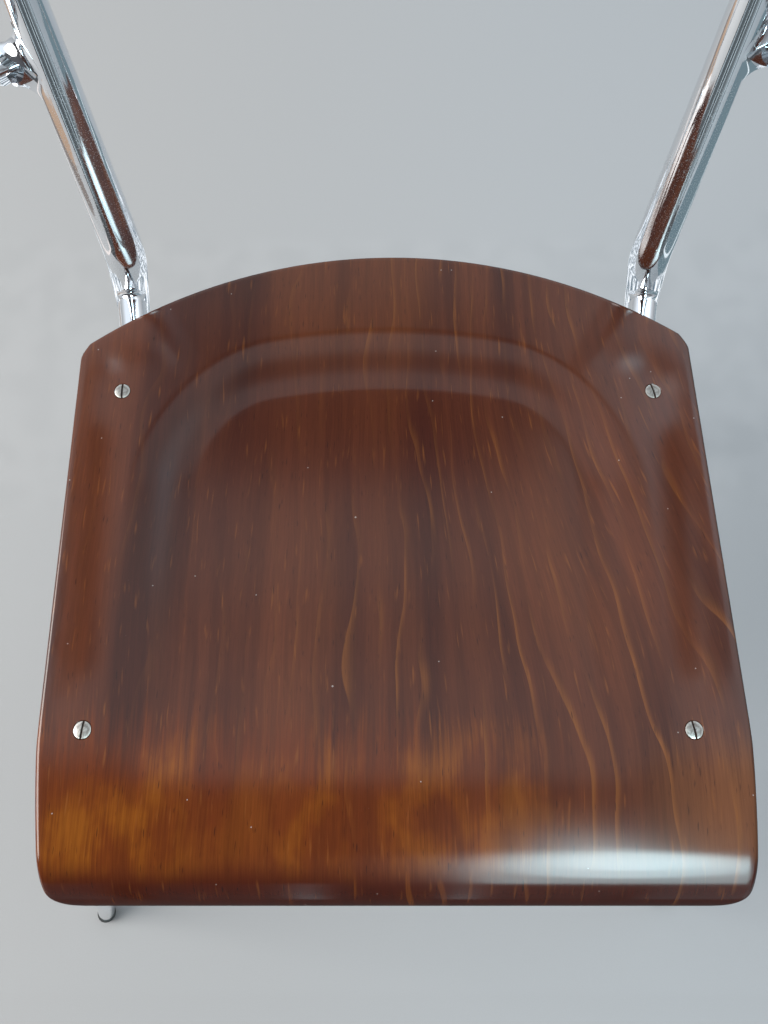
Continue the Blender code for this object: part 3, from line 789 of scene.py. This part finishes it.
def back_face(across, run):
    """The face towards the sitter, at a run downwards from mid height."""
    centre, forward, up = back_frame()
    radius = BACK_RADIUS - PLY
    turn = across / radius
    ahead = back_bend_centre(-run) - radius * math.cos(turn)
    return centre + Vector((radius * math.sin(turn), 0, 0)) + forward * ahead - up * run


def back_outline(wide, down, inset):
    half = BACK_HALF_WIDTH - inset
    height = 2 * (BACK_HALF_HEIGHT - inset)
    half -= rounding(down * height, BACK_CORNER - inset)
    half -= rounding((1 - down) * height, BACK_CORNER - inset)
    x = wide * half
    crown = BACK_CROWN * (1 - (x / BACK_HALF_WIDTH) ** 2)
    return x, (down - 0.5) * height - crown * (1 - 2 * down) / 2


def make_back(wood, nickel):
    centre, forward, up = back_frame()
    holes = []
    for side, sign in SIDES.items():
        for place, height in BACK_SCREW_OFFSET.items():
            name = place + "_" + side
            half_spacing, reach, _ = back_contact(height)
            turn = math.asin(half_spacing / reach)
            axis = forward * math.cos(turn) + Vector((-sign * math.sin(turn), 0, 0))
            tube = centre + up * height + Vector((sign * half_spacing, 0, 0))
            radius = upright_radius(tube.z)
            head = tube + axis * (radius + 2 * GAP + PLY)
            behind = tube - axis * (radius + GAP)
            length = (head - behind).length + THREAD_IN_NUT
            make_screw("screw_back_" + name, standing(head, axis), length, BACK_SLOT_TURN * sign, nickel,
                       "back_screw_" + name)
            make_nut("nut_back_" + name, standing(behind, -axis), nickel, "back_nut_" + name)
            holes.append((sign * turn * (BACK_RADIUS - PLY), -height, countersink()))
    make_panel("moulded_back", back_outline, back_face, lambda x, run: PLY, PLY_EDGE, BACK_CELLS, holes, wood,
               "back_panel")


def make_seat_fixings(nickel, rubber):
    for side, sign in SIDES.items():
        for place, y in SEAT_SCREW_Y.items():
            name = place + "_" + side
            head = Vector((sign * SCREW_X, y, seat_face(SCREW_X, DIP_Y - y).z))
            under_rail = RAIL_Z - RAIL_RADIUS - GAP
            length = head.z - under_rail + THREAD_IN_NUT
            upright = Matrix.Translation(head)
            make_screw("screw_seat_" + name, upright, length, SLOT_TURN[name], nickel, "seat_screw_" + name)
            below = Vector((head.x, head.y, under_rail))
            make_nut("nut_seat_" + name, standing(below, -UP), nickel, "seat_nut_" + name)
            make_spacer("spacer_" + name, head, rubber, "seat_spacer_" + name)


def make_spacer(name, head, rubber, node):
    """A rubber bush whose lower end is saddled to the rail."""
    top = seat_face(SCREW_X, DIP_Y - head.y + SPACER_RADIUS).z - PLY - GAP

    def saddle(x, y):
        return RAIL_Z + math.sqrt((RAIL_RADIUS + GAP) ** 2 - x * x)

    hole = SHANK_RADIUS + GAP
    profile = [(hole, None), (SPACER_RADIUS, None), (SPACER_RADIUS + SPACER_BULGE, top - 0.004),
               (SPACER_RADIUS, top - SPACER_BREAK), (SPACER_RADIUS - SPACER_BREAK, top)]
    profile += [(hole, top), (hole, None)]
    bm, rings = turned_mesh(profile, lowest=saddle)
    bmesh.ops.remove_doubles(bm, verts=rings[0] + rings[-1], dist=0.00001)
    piece = finish_piece(name, bm, rubber, [node])
    piece.data.transform(Matrix.Translation((head.x, head.y, 0)))


def make_armrest(side, wood, nickel):
    tip = arm_tip(side)
    along = (arm_elbow(side) - tip).normalized()
    across = Vector((1, 0, 0))
    above = along.cross(across)
    above *= math.copysign(1, above.z)
    top = tip + above * (ARM_END_RADIUS - PAD_SINK + PAD_THICKNESS)
    middle_run = sum(PAD_REACH) / 2
    half_length = (PAD_REACH[1] - PAD_REACH[0]) / 2

    def face(x, run):
        return top + across * x + along * (middle_run - run)

    def outline(wide, down, inset):
        half = PAD_HALF_WIDTH - inset
        length = 2 * (half_length - inset)
        half -= rounding(down * length, PAD_CORNER - inset)
        half -= rounding((1 - down) * length, PAD_CORNER - inset)
        return wide * half, (down - 0.5) * length

    def depth_at(x, run):
        """The pad's underside, with the groove that the tube lies in."""
        axis_depth = ARM_END_RADIUS - PAD_SINK + PAD_THICKNESS
        share = (middle_run - run) / (PAD_REACH[1] + ARM_BEND)
        radius = ARM_END_RADIUS + (ARM_RADIUS - ARM_END_RADIUS) * GROOVE_TAPER * share + GAP
        if abs(x) >= radius:
            return PAD_THICKNESS
        return min(PAD_THICKNESS, axis_depth - math.sqrt(radius ** 2 - x * x))

    make_panel("pad_" + side, outline, face, depth_at, PAD_EDGE, PAD_CELLS, [], wood,
               side + "_armrest")
    for place, distance in ARM_SCREW_FROM_END.items():
        name = place + "_" + side
        head = tip + along * distance - above * (ARM_RADIUS - ARM_SCREW_SINK)
        profile = [(PAN_RADIUS * wide, -PAN_HEIGHT * high) for wide, high in PAN_SHAPE]
        make_turned("screw_arm_" + name, standing(head, above), profile, nickel,
                    "arm_screw_" + name)


def make_ends(rubber, plastic):
    for side in SIDES:
        corner = mirrored(Vector((SCREW_X, RAIL_FRONT_Y, RAIL_Z)), side)
        make_foot("rubber_front_" + side, FRONT_FOOT[side], corner, rubber, "foot_front_" + side)
        rear = mirrored(REAR_FOOT, side)
        make_foot("rubber_rear_" + side, rear, mirrored(KNEE, side), rubber, "foot_rear_" + side)
        rise = (upright_point(side, 1) - upright_point(side, 0)).normalized()
        top = standing(upright_point(side, UPRIGHT_TOP), rise)
        make_plug("plug_top_" + side, top, UPRIGHT_TOP_RADIUS, plastic, "upright_plug_" + side)
        ahead = (arm_tip(side) - arm_elbow(side)).normalized()
        front = standing(arm_tip(side), ahead)
        make_plug("plug_arm_" + side, front, ARM_END_RADIUS, plastic, "arm_plug_" + side)


# Materials: the wood's colours, which are linear

STAIN_DARK = (0.050, 0.0120, 0.0060, 1)
STAIN_MIDDLE = (0.100, 0.0270, 0.0105, 1)
STAIN_WARM = (0.215, 0.0620, 0.0130, 1)
STAIN_POOL = (0.062, 0.0110, 0.0050, 1)
# Painted shade: the dark colour for the lip where the seat's front roll turns down, away from the light
LIP_PAINTED_SHADE = (0.058, 0.0085, 0.0030, 1)
WORN_RED = (0.115, 0.0220, 0.0045, 1)
WORN_BROWN = (0.150, 0.0330, 0.0035, 1)
WORN_GOLD = (0.235, 0.0700, 0.0060, 1)
WORN_PALE = (0.230, 0.0900, 0.0300, 1)
GROWTH_LINE = (0.200, 0.0680, 0.0150, 1)
FLECK = (0.250, 0.0820, 0.0170, 1)
PORE = (0.020, 0.0060, 0.0040, 1)
GLUE_LINE = (0.028, 0.0090, 0.0050, 1)
DUST = (0.6, 0.58, 0.55, 1)
GROWTH_ROWS = 62  # growth lines per metre across the grain
VENEER = 0.0015


class Graph:
    """A short way to build the nodes of a material, or of the world, around its shader."""

    def __init__(self, owner, shader="Principled BSDF"):
        owner.use_nodes = True
        self.owner = owner
        self.tree = owner.node_tree
        self.shader = self.tree.nodes[shader]

    def add(self, kind, output=0, inputs=(), **settings):
        node = self.tree.nodes.new(kind)
        for key, value in settings.items():
            setattr(node, key, value)
        for key, value in dict(inputs).items():
            self.feed(node.inputs[key], value)
        return node.outputs[output]

    def feed(self, socket, value):
        if isinstance(value, bpy.types.NodeSocket):
            self.tree.links.new(value, socket)
        else:
            socket.default_value = value

    def set(self, **values):
        """Fills the shader's own sockets, named with underscores for spaces."""
        for key, value in values.items():
            self.feed(self.shader.inputs[key.replace("_", " ")], value)

    def place(self):
        return self.add("ShaderNodeAttribute", "Vector", attribute_name="place")

    def split(self, vector):
        node = self.add("ShaderNodeSeparateXYZ", inputs={0: vector}).node
        return node.outputs[0], node.outputs[1], node.outputs[2]

    def join(self, x, y, z):
        return self.add("ShaderNodeCombineXYZ", inputs={0: x, 1: y, 2: z})

    def math(self, operation, one, two=0.0):
        return self.add("ShaderNodeMath", inputs={0: one, 1: two}, operation=operation)

    def times(self, *values):
        return reduce(lambda one, two: self.math("MULTIPLY", one, two), values)

    def plus(self, *values):
        return reduce(lambda one, two: self.math("ADD", one, two), values)

    def swing(self, noise, reach):
        """A noise's departure from its middle value, scaled."""
        return self.times(self.math("SUBTRACT", noise, 0.5), reach)

    def away(self, value, centre):
        return self.math("ABSOLUTE", self.math("SUBTRACT", value, centre))

    def ease(self, value, low, high, start=0.0, end=1.0):
        """A smooth step from start to end as the value goes from low to high."""
        inputs = {"Value": value, "From Min": low, "From Max": high, "To Min": start, "To Max": end}
        return self.add("ShaderNodeMapRange", inputs=inputs, interpolation_type="SMOOTHSTEP")

    def noise(self, vector, scale=1.0, detail=2.0, roughness=0.5):
        inputs = {"Vector": vector, "Scale": scale, "Detail": detail, "Roughness": roughness}
        return self.add("ShaderNodeTexNoise", inputs=inputs)

    def mix(self, share, one, two, blend="MIX"):
        inputs = {0: share, 6: one, 7: two}
        return self.add("ShaderNodeMix", 2, inputs, data_type="RGBA", blend_type=blend)

    def bump(self, height, distance, strength=1.0, normal=None):
        inputs = {"Height": height, "Distance": distance, "Strength": strength}
        if normal is not None:
            inputs["Normal"] = normal
        return self.add("ShaderNodeBump", inputs=inputs)


def make_wood(name, seed, figure=1.0, worn_front_and_lip_shade=False, plies=True):
    """Dark stained beech under a satin clear coat. The grain runs along the piece's second coordinate."""
    g = Graph(bpy.data.materials.new(name))
    x, run, depth = g.split(g.place())

    # The figure: nearly straight on one half, drifting sideways on the other
    drift = g.times(g.ease(x, -0.02, 0.13), g.ease(run, 0.03, -0.27))
    line = g.plus(x, g.times(drift, 0.060 * figure))
    sway = g.noise(g.join(g.times(x, 9.0), g.times(run, 7.0), seed), detail=1.5)
    line = g.plus(line, g.swing(sway, 0.010))

    def grain(across, along, offset, detail=2.0, roughness=0.5):
        deep = g.plus(g.times(depth, across), seed + offset)
        return g.noise(g.join(g.times(line, across), g.times(run, along), deep), 1.0, detail, roughness)

    def cloud(across, along, offset, detail):
        return g.noise(g.join(g.times(line, across), g.times(run, along), seed + offset), detail=detail)

    bands = grain(24, 1.6, 1.0, 3.0)
    broad = grain(9, 2.2, 2.0)
    strands = grain(170, 5, 8.0)
    fibres = grain(760, 19, 3.0, 3.0, 0.6)
    fine = grain(1700, 70, 4.0)
    flecks = grain(430, 42, 5.0, 1.0)
    pores = grain(850, 95, 6.0, 1.0)
    warp = grain(17, 6.5, 7.0, 2.0, 0.45)

    colour = g.mix(g.ease(bands, 0.36, 0.64), STAIN_DARK, STAIN_MIDDLE)
    colour = g.mix(g.times(g.ease(broad, 0.50, 0.72), 0.32), colour, STAIN_WARM)

    # Growth lines, thin and pale, mostly on the drifting half
    across_row = g.math("FRACT", g.plus(g.times(line, GROWTH_ROWS), g.times(warp, 3.2)))
    ridge = g.times(g.ease(across_row, 0.0, 0.035), g.math("POWER", g.ease(across_row, 0.36, 0.0), 2.0))
    streak = g.times(ridge, g.ease(cloud(55, 11, 9.0, 2.0), 0.40, 0.68),
                     g.ease(x, -0.10, 0.02, 0.18, 0.85), g.ease(run, -0.08, 0.03, 0.85, 1.15))
    colour = g.mix(streak, colour, GROWTH_LINE)

    # The deeper stain in the dish, the worn and lighter front, its one pale corner, and painted shade that
    # darkens the lip where the front roll turns down
    if worn_front_and_lip_shade:
        pool = g.times(g.ease(g.away(x, -0.015), 0.120, 0.050), g.ease(g.away(run, -0.175), 0.075, 0.025))
        colour = g.mix(g.times(pool, 0.40), colour, STAIN_POOL)
        ragged = g.plus(run, g.swing(fibres, 0.030), g.swing(strands, 0.060))
        clouds = g.plus(cloud(34, 20, 12.0, 3.0), g.swing(fibres, 0.25))
        reached = g.ease(ragged, 0.000, 0.045)
        ruddy = g.times(reached, g.ease(x, 0.10, -0.06, 0.0, 0.7))
        colour = g.mix(ruddy, colour, WORN_RED)
        rubbed = g.times(reached, g.ease(x, -0.03, -0.11, 0.75, 1.0), g.ease(x, 0.14, 0.04),
                         g.ease(g.away(x, -0.085), 0.040, 0.015, 1.0, 0.35),
                         g.ease(clouds, 0.34, 0.62, 0.40, 1.0))
        gold = g.mix(g.ease(clouds, 0.42, 0.70), WORN_BROWN, WORN_GOLD)
        colour = g.mix(g.times(rubbed, 0.85), colour, gold)
        corner = g.times(g.ease(x, 0.12, 0.18), g.ease(ragged, 0.01, 0.05), g.ease(run, 0.092, 0.075))
        colour = g.mix(g.times(corner, 0.45), colour, WORN_PALE)
        # Painted shade: the front roll's lip is darkened where it turns down, away from the light; growth
        # lines keep more of their colour through it
        creep = g.plus(run, g.swing(strands, 0.010), g.swing(clouds, 0.012))
        lip_shade = g.times(g.ease(creep, 0.0840, 0.1030), g.ease(streak, 0.35, 0.10, 0.30, 1.0))
        colour = g.mix(g.times(lip_shade, 0.92), colour, LIP_PAINTED_SHADE)

    # Fine fibre structure
    tone = g.times(g.ease(strands, 0.30, 0.70, 0.92, 1.08), g.ease(fibres, 0.30, 0.70, 0.92, 1.08),
                   g.ease(fine, 0.30, 0.70, 0.94, 1.06))
    colour = g.mix(1.0, colour, g.join(tone, tone, tone), "MULTIPLY")
    colour = g.mix(g.ease(flecks, 0.63, 0.80, 0.0, 0.42), colour, FLECK)
    colour = g.mix(g.ease(pores, 0.34, 0.22, 0.0, 0.65), colour, PORE)

    # Plies show on the edges
    if plies:
        ply = g.math("PINGPONG", g.times(depth, 1 / VENEER), 0.5)
        on_edge = g.times(g.ease(depth, 0.0012, 0.0024), g.ease(depth, PLY - 0.0012, PLY - 0.0024))
        colour = g.mix(g.times(on_edge, g.ease(ply, 0.05, 0.30, 0.55, 0.0)), colour, GLUE_LINE)

    # Dust specks
    dust = g.noise(g.join(g.times(x, 420), g.times(run, 420), seed + 20.0), detail=0)
    colour = g.mix(g.ease(dust, 0.893, 0.906, 0.0, 0.50), colour, DUST)

    height = g.plus(g.times(fibres, 0.5), g.times(pores, 0.6))
    waves = g.noise(g.join(g.times(x, 260), g.times(run, 110), depth), detail=2)
    g.set(Base_Color=colour, Roughness=g.ease(fibres, 0.3, 0.7, 0.42, 0.56), Specular_IOR_Level=0.0)
    g.set(Normal=g.bump(height, 0.00006, 0.5))
    g.set(Coat_Weight=1.0, Coat_Roughness=0.16, Coat_IOR=1.5)
    g.set(Coat_Normal=g.bump(waves, 0.00002, 0.5))
    return g.owner


def make_chrome():
    g = Graph(bpy.data.materials.new("chrome"))
    place = g.place()
    across, up, length = g.split(place)
    polish = g.noise(g.join(g.times(across, 1400), g.times(up, 1400), g.times(length, 22)), detail=3)
    pits = g.noise(place, 1500, 1.0)
    patches = g.noise(place, 38, 2.0)
    knee = g.times(g.ease(length, 0.44, 0.49), g.ease(length, 0.60, 0.54))
    above_knee = g.times(g.ease(length, 0.47, 0.52), g.ease(length, 0.66, 0.56))
    worn = g.math("MAXIMUM", g.ease(patches, 0.52, 0.68), g.times(knee, 0.9))
    worn = g.math("MAXIMUM", worn, g.times(above_knee, g.ease(patches, 0.42, 0.58)))
    pitted = g.times(g.ease(pits, 0.58, 0.70), worn)
    waves = g.noise(g.join(g.times(across, 60), g.times(up, 60), g.times(length, 26)), detail=2)
    colour = g.mix(pitted, (0.80, 0.82, 0.85, 1), (0.62, 0.64, 0.66, 1))
    rough = g.plus(g.ease(polish, 0.40, 0.75, 0.045, 0.11), g.times(pitted, 0.35))
    g.set(Base_Color=colour, Metallic=1.0, Roughness=rough)
    height = g.bump(waves, 0.00025, 0.35)
    height = g.bump(polish, 0.000006, 0.35, height)
    g.set(Normal=g.bump(pitted, 0.00005, -0.6, height))
    return g.owner


def make_nickel():
    g = Graph(bpy.data.materials.new("worn_nickel"))
    place = g.place()
    x, y, z = g.split(place)
    mottle = g.noise(place, 700, 3.0, 0.6)
    stain = g.noise(place, 380, 2.0)
    radial = g.math("SQRT", g.plus(g.times(x, x), g.times(y, y)))
    rim = g.ease(radial, 0.68 * HEAD_RADIUS, HEAD_RADIUS)
    groove = g.ease(z, 0.0001, -0.0002)
    dirt = g.math("MAXIMUM", g.ease(stain, 0.46, 0.66, 0.0, 0.50), groove)
    colour = g.mix(g.ease(mottle, 0.35, 0.65), (0.25, 0.235, 0.215, 1), (0.46, 0.45, 0.43, 1))
    colour = g.mix(dirt, colour, (0.040, 0.016, 0.008, 1))
    colour = g.mix(g.times(rim, g.math("SUBTRACT", 0.7, groove)), colour, (0.62, 0.59, 0.54, 1))
    g.set(Base_Color=colour, Metallic=g.math("SUBTRACT", 1.0, g.times(dirt, 0.9)))
    g.set(Roughness=g.math("MAXIMUM", g.ease(mottle, 0.3, 0.7, 0.36, 0.55), g.times(groove, 0.9)))
    g.set(Normal=g.bump(mottle, 0.00006, 0.5))
    return g.owner


def make_rubber():
    g = Graph(bpy.data.materials.new("black_rubber"))
    grain = g.noise(g.place(), 1600, 3.0)
    dust = g.noise(g.place(), 260, 3.0)
    g.set(Base_Color=g.mix(g.ease(dust, 0.45, 0.75), (0.022, 0.021, 0.020, 1), (0.070, 0.066, 0.060, 1)))
    g.set(Roughness=g.ease(dust, 0.3, 0.7, 0.55, 0.80), Normal=g.bump(grain, 0.00008, 0.5))
    return g.owner


def make_plastic():
    g = Graph(bpy.data.materials.new("black_plastic"))
    grain = g.noise(g.place(), 2200, 2.0)
    scuffs = g.noise(g.place(), 420, 3.0)
    g.set(Base_Color=g.mix(g.ease(scuffs, 0.55, 0.75), (0.028, 0.028, 0.028, 1), (0.075, 0.073, 0.070, 1)))
    g.set(Roughness=g.ease(scuffs, 0.4, 0.7, 0.34, 0.55), Normal=g.bump(grain, 0.00004, 0.4))
    return g.owner


def make_floor_material():
    g = Graph(bpy.data.materials.new("pale_floor"))
    where = g.add("ShaderNodeNewGeometry", "Position")
    speckle = g.noise(where, 900, 2.0)
    cloud = g.noise(where, 1.4, 2.0)
    # Painted light: the colour runs paler and bluer towards +X, a tint that stands in for bluish light
    # falling on that side of the floor; the faint clouds are the floor's own tone
    floor_tone_and_light_tint = g.mix(g.ease(g.split(where)[0], -0.6, 0.6), (0.392, 0.392, 0.390, 1), (0.410, 0.434, 0.452, 1))
    floor_tone_and_light_tint = g.mix(g.ease(cloud, 0.35, 0.65, 0.0, 0.03), floor_tone_and_light_tint, (0.5, 0.5, 0.5, 1))
    tone = g.ease(speckle, 0.3, 0.7, 0.985, 1.015)
    g.set(Base_Color=g.mix(1.0, floor_tone_and_light_tint, g.join(tone, tone, tone), "MULTIPLY"))
    g.set(Roughness=0.62, Specular_IOR_Level=0.25)
    return g.owner


# Studio: sizes in metres, colours and levels relative to white

FLOOR_RADIUS = 9.0
LIGHT_DISTANCE = 5.6
PANE_STEP = 0.1  # each pane of the window stands this much nearer
WINDOW_SHIFT = 0.305  # sideways, per metre of distance
WINDOW_COLOUR = (0.76, 1.03, 1.10)
PANES = ((34.0, 2.3, 8.7, 5.5), (45.5, 1.7, 4.8, 8.0), (51.0, 1.0, 2.9, 6.5))
FLAG_Y = -1.05
FLAG_TOP = 0.62
FLAGS = ((-0.80, -0.66, 0.04), (-0.66, -0.61, 1.00), (-0.61, -0.42, 0.20), (-0.42, -0.36, 0.03),
         (-0.36, -0.14, 0.15), (-0.14, -0.10, 0.90), (-0.10, 0.10, 0.10), (0.10, 0.14, 0.90),
         (0.14, 0.36, 0.18), (0.36, 0.39, 0.05), (0.39, 0.61, 0.34), (0.61, 0.65, 1.00), (0.65, 0.80, 0.26))
CARDS = (("flag_floor", -0.75, 0.75, FLAG_Y, -0.36, 0.002, (0.09, 0.095, 0.10)),
         ("card_right", 0.52, 1.80, -0.80, 0.60, 0.002, (0.19, 0.265, 0.300)),
         ("strip_right", 0.72, 0.77, -0.60, 0.60, 0.003, (1.00, 1.10, 1.15)),
         ("card_left", -1.38, -1.12, -0.90, 0.70, 0.002, (0.60, 0.42, 0.30)),
         ("card_far_left", -1.12, -0.95, -0.50, 0.70, 0.002, (0.30, 0.26, 0.24)),
         ("strip_left", -0.80, -0.75, -0.60, 0.60, 0.003, (1.10, 1.00, 0.95)),
         ("card_rear", -0.55, 0.55, 0.16, 0.55, 0.002, (1.30, 1.35, 1.40)))
REAR_SHADE = (0.16, 0.22, 0.27)  # the rear card is mottled with it
CAMERA_PLACE = (-0.0024, -0.164, 0.921)
CAMERA_TILT = math.radians(19)  # off straight down
LENS = 28.125  # millimetres, on a sensor of 36
SENSOR = 36.0


def make_floor():
    bm = bmesh.new()
    bmesh.ops.create_circle(bm, cap_ends=True, segments=96, radius=FLOOR_RADIUS)
    mesh = bpy.data.meshes.new("studio_floor")
    bm.to_mesh(mesh)
    bm.free()
    mesh.materials.append(make_floor_material())
    floor = new_object("studio_floor", mesh)


def direction(azimuth, elevation):
    """A unit vector; azimuth is from +Y towards +X, in degrees."""
    flat = math.cos(math.radians(elevation))
    turn = math.radians(azimuth)
    return Vector((math.sin(turn) * flat, math.cos(turn) * flat, math.sin(math.radians(elevation))))


def make_softbox(name, azimuth, elevation, distance, size, level, colour):
    """An oval light of an even brightness, relative to white."""
    light = bpy.data.lights.new(name, "AREA")
    light.shape = "ELLIPSE"
    light.size, light.size_y = size
    light.energy = level * math.pi * (math.pi / 4 * size[0] * size[1])
    light.color = colour
    box = new_object(name, light)
    aim = Vector((0, 0, SEAT_TOP))
    way = direction(azimuth, elevation)
    box.matrix_world = standing(aim + way * distance, way)
    box.visible_camera = False
    return box


def make_card(name, low, high, colour, mottled=None):
    """A flat card beside the chair that shows only in its chrome and lacquer."""
    mesh = bpy.data.meshes.new(name)
    low, high = Vector(low), Vector(high)
    side = Vector((high.x, low.y, low.z))
    corners = [low, side, high, low + high - side]
    mesh.from_pydata(corners, [], [(0, 1, 2, 3)])
    g = Graph(bpy.data.materials.new(name))
    g.set(Base_Color=(0, 0, 0, 1), Specular_IOR_Level=0.0, Emission_Strength=1.0)
    g.set(Emission_Color=(*colour, 1))
    if mottled:
        patches = g.noise(g.add("ShaderNodeNewGeometry", "Position"), 26, 2.0)
        g.set(Emission_Color=g.mix(g.ease(patches, 0.42, 0.58), (*colour, 1), (*mottled, 1)))
    mesh.materials.append(g.owner)
    card = new_object(name, mesh)
    card.visible_camera = False
    card.visible_diffuse = False
    card.visible_shadow = False


def make_cards():
    """A row of dark and bright flags in front, and cards and thin strips on the floor round the chair."""
    for index, (left, right, level) in enumerate(FLAGS):
        tone = (level * 0.85, level, level * 1.08)
        make_card("flag_" + str(index), (left, FLAG_Y, 0.0), (right, FLAG_Y, FLAG_TOP), tone)
    for name, left, right, near, far, height, colour in CARDS:
        mottled = REAR_SHADE if name == "card_rear" else None
        make_card(name, (left, near, height), (right, far, height), colour, mottled)


def make_world():
    """A pale room, brightest at the rear right, dark in front, with a dark beam behind."""
    world = bpy.data.worlds.new("studio")
    bpy.context.scene.world = world
    g = Graph(world, "Background")
    x, y, z = g.split(g.add("ShaderNodeTexCoord", "Generated"))
    height = g.math("MAXIMUM", z, 0.02)
    over = g.math("DIVIDE", x, height)
    back = g.math("DIVIDE", y, height)
    high = g.ease(z, 0.3, 0.6)
    room = g.mix(g.ease(z, 0.0, 0.5), (0.60, 0.62, 0.64, 1), (0.96, 1.01, 1.07, 1))
    room = g.mix(g.times(g.ease(over, 0.28, 0.46), high), room, (1.55, 1.70, 1.82, 1))
    room = g.mix(g.times(g.ease(over, -0.30, -0.44), high), room, (1.20, 1.30, 1.40, 1))
    rear_right = g.times(g.ease(over, 0.33, 0.40), g.ease(over, 0.75, 0.60),
                         g.ease(back, 0.22, 0.42), g.ease(back, 0.62, 0.52))
    room = g.mix(rear_right, room, (1.60, 2.30, 2.75, 1))
    front = g.times(g.ease(back, 0.00, -0.14), g.ease(over, 0.05, 0.35, 1.0, 0.75))
    room = g.mix(g.times(front, 0.93), room, (0.05, 0.045, 0.05, 1))
    beam = g.times(g.ease(back, 0.375, 0.405), g.ease(back, 0.74, 0.56),
                   g.ease(over, -0.36, -0.26), g.ease(over, 0.26, 0.17))
    room = g.mix(g.times(beam, 0.93), room, (0.05, 0.05, 0.06, 1))
    g.set(Color=room, Strength=0.85)


def make_lights():
    """A window of nested panes, seen only as a reflection, and a soft key light from the left."""
    for index, (elevation, width, height, level) in enumerate(PANES):
        distance = LIGHT_DISTANCE - PANE_STEP * index
        window = make_softbox("window_" + str(index), 180, elevation, distance, (width, height), level,
                              WINDOW_COLOUR)
        window.location.x += WINDOW_SHIFT * distance
        window.visible_diffuse = False
    make_softbox("key", -97, 32, LIGHT_DISTANCE, (4.8, 3.8), 9, (1.0, 0.98, 0.95))


def make_camera():
    camera = bpy.data.cameras.new("camera")
    camera.sensor_width = SENSOR
    camera.lens = LENS
    item = new_object("camera", camera)
    item.location = CAMERA_PLACE
    item.rotation_euler = (CAMERA_TILT, 0, 0)
    bpy.context.scene.camera = item


def build():
    chrome = make_chrome()
    nickel = make_nickel()
    rubber = make_rubber()
    plastic = make_plastic()
    make_seat(make_wood("stained_seat", 3.0, worn_front_and_lip_shade=True))
    make_back(make_wood("stained_back", 17.0, figure=0.4), nickel)
    arm_wood = make_wood("stained_armrests", 31.0, figure=0.1, plies=False)
    for side in SIDES:
        make_rear_leg(side, chrome)
        make_rail(side, chrome)
        make_arm(side, chrome)
        make_armrest(side, arm_wood, nickel)
    for place in CROSS_Y:
        make_cross_tube(place, chrome)
    make_seat_fixings(nickel, rubber)
    make_ends(rubber, plastic)
    make_floor()
    make_world()
    make_lights()
    make_cards()
    make_camera()
    bpy.context.scene.view_settings.view_transform = "Standard"


build()
bpy.context.view_layer.update()
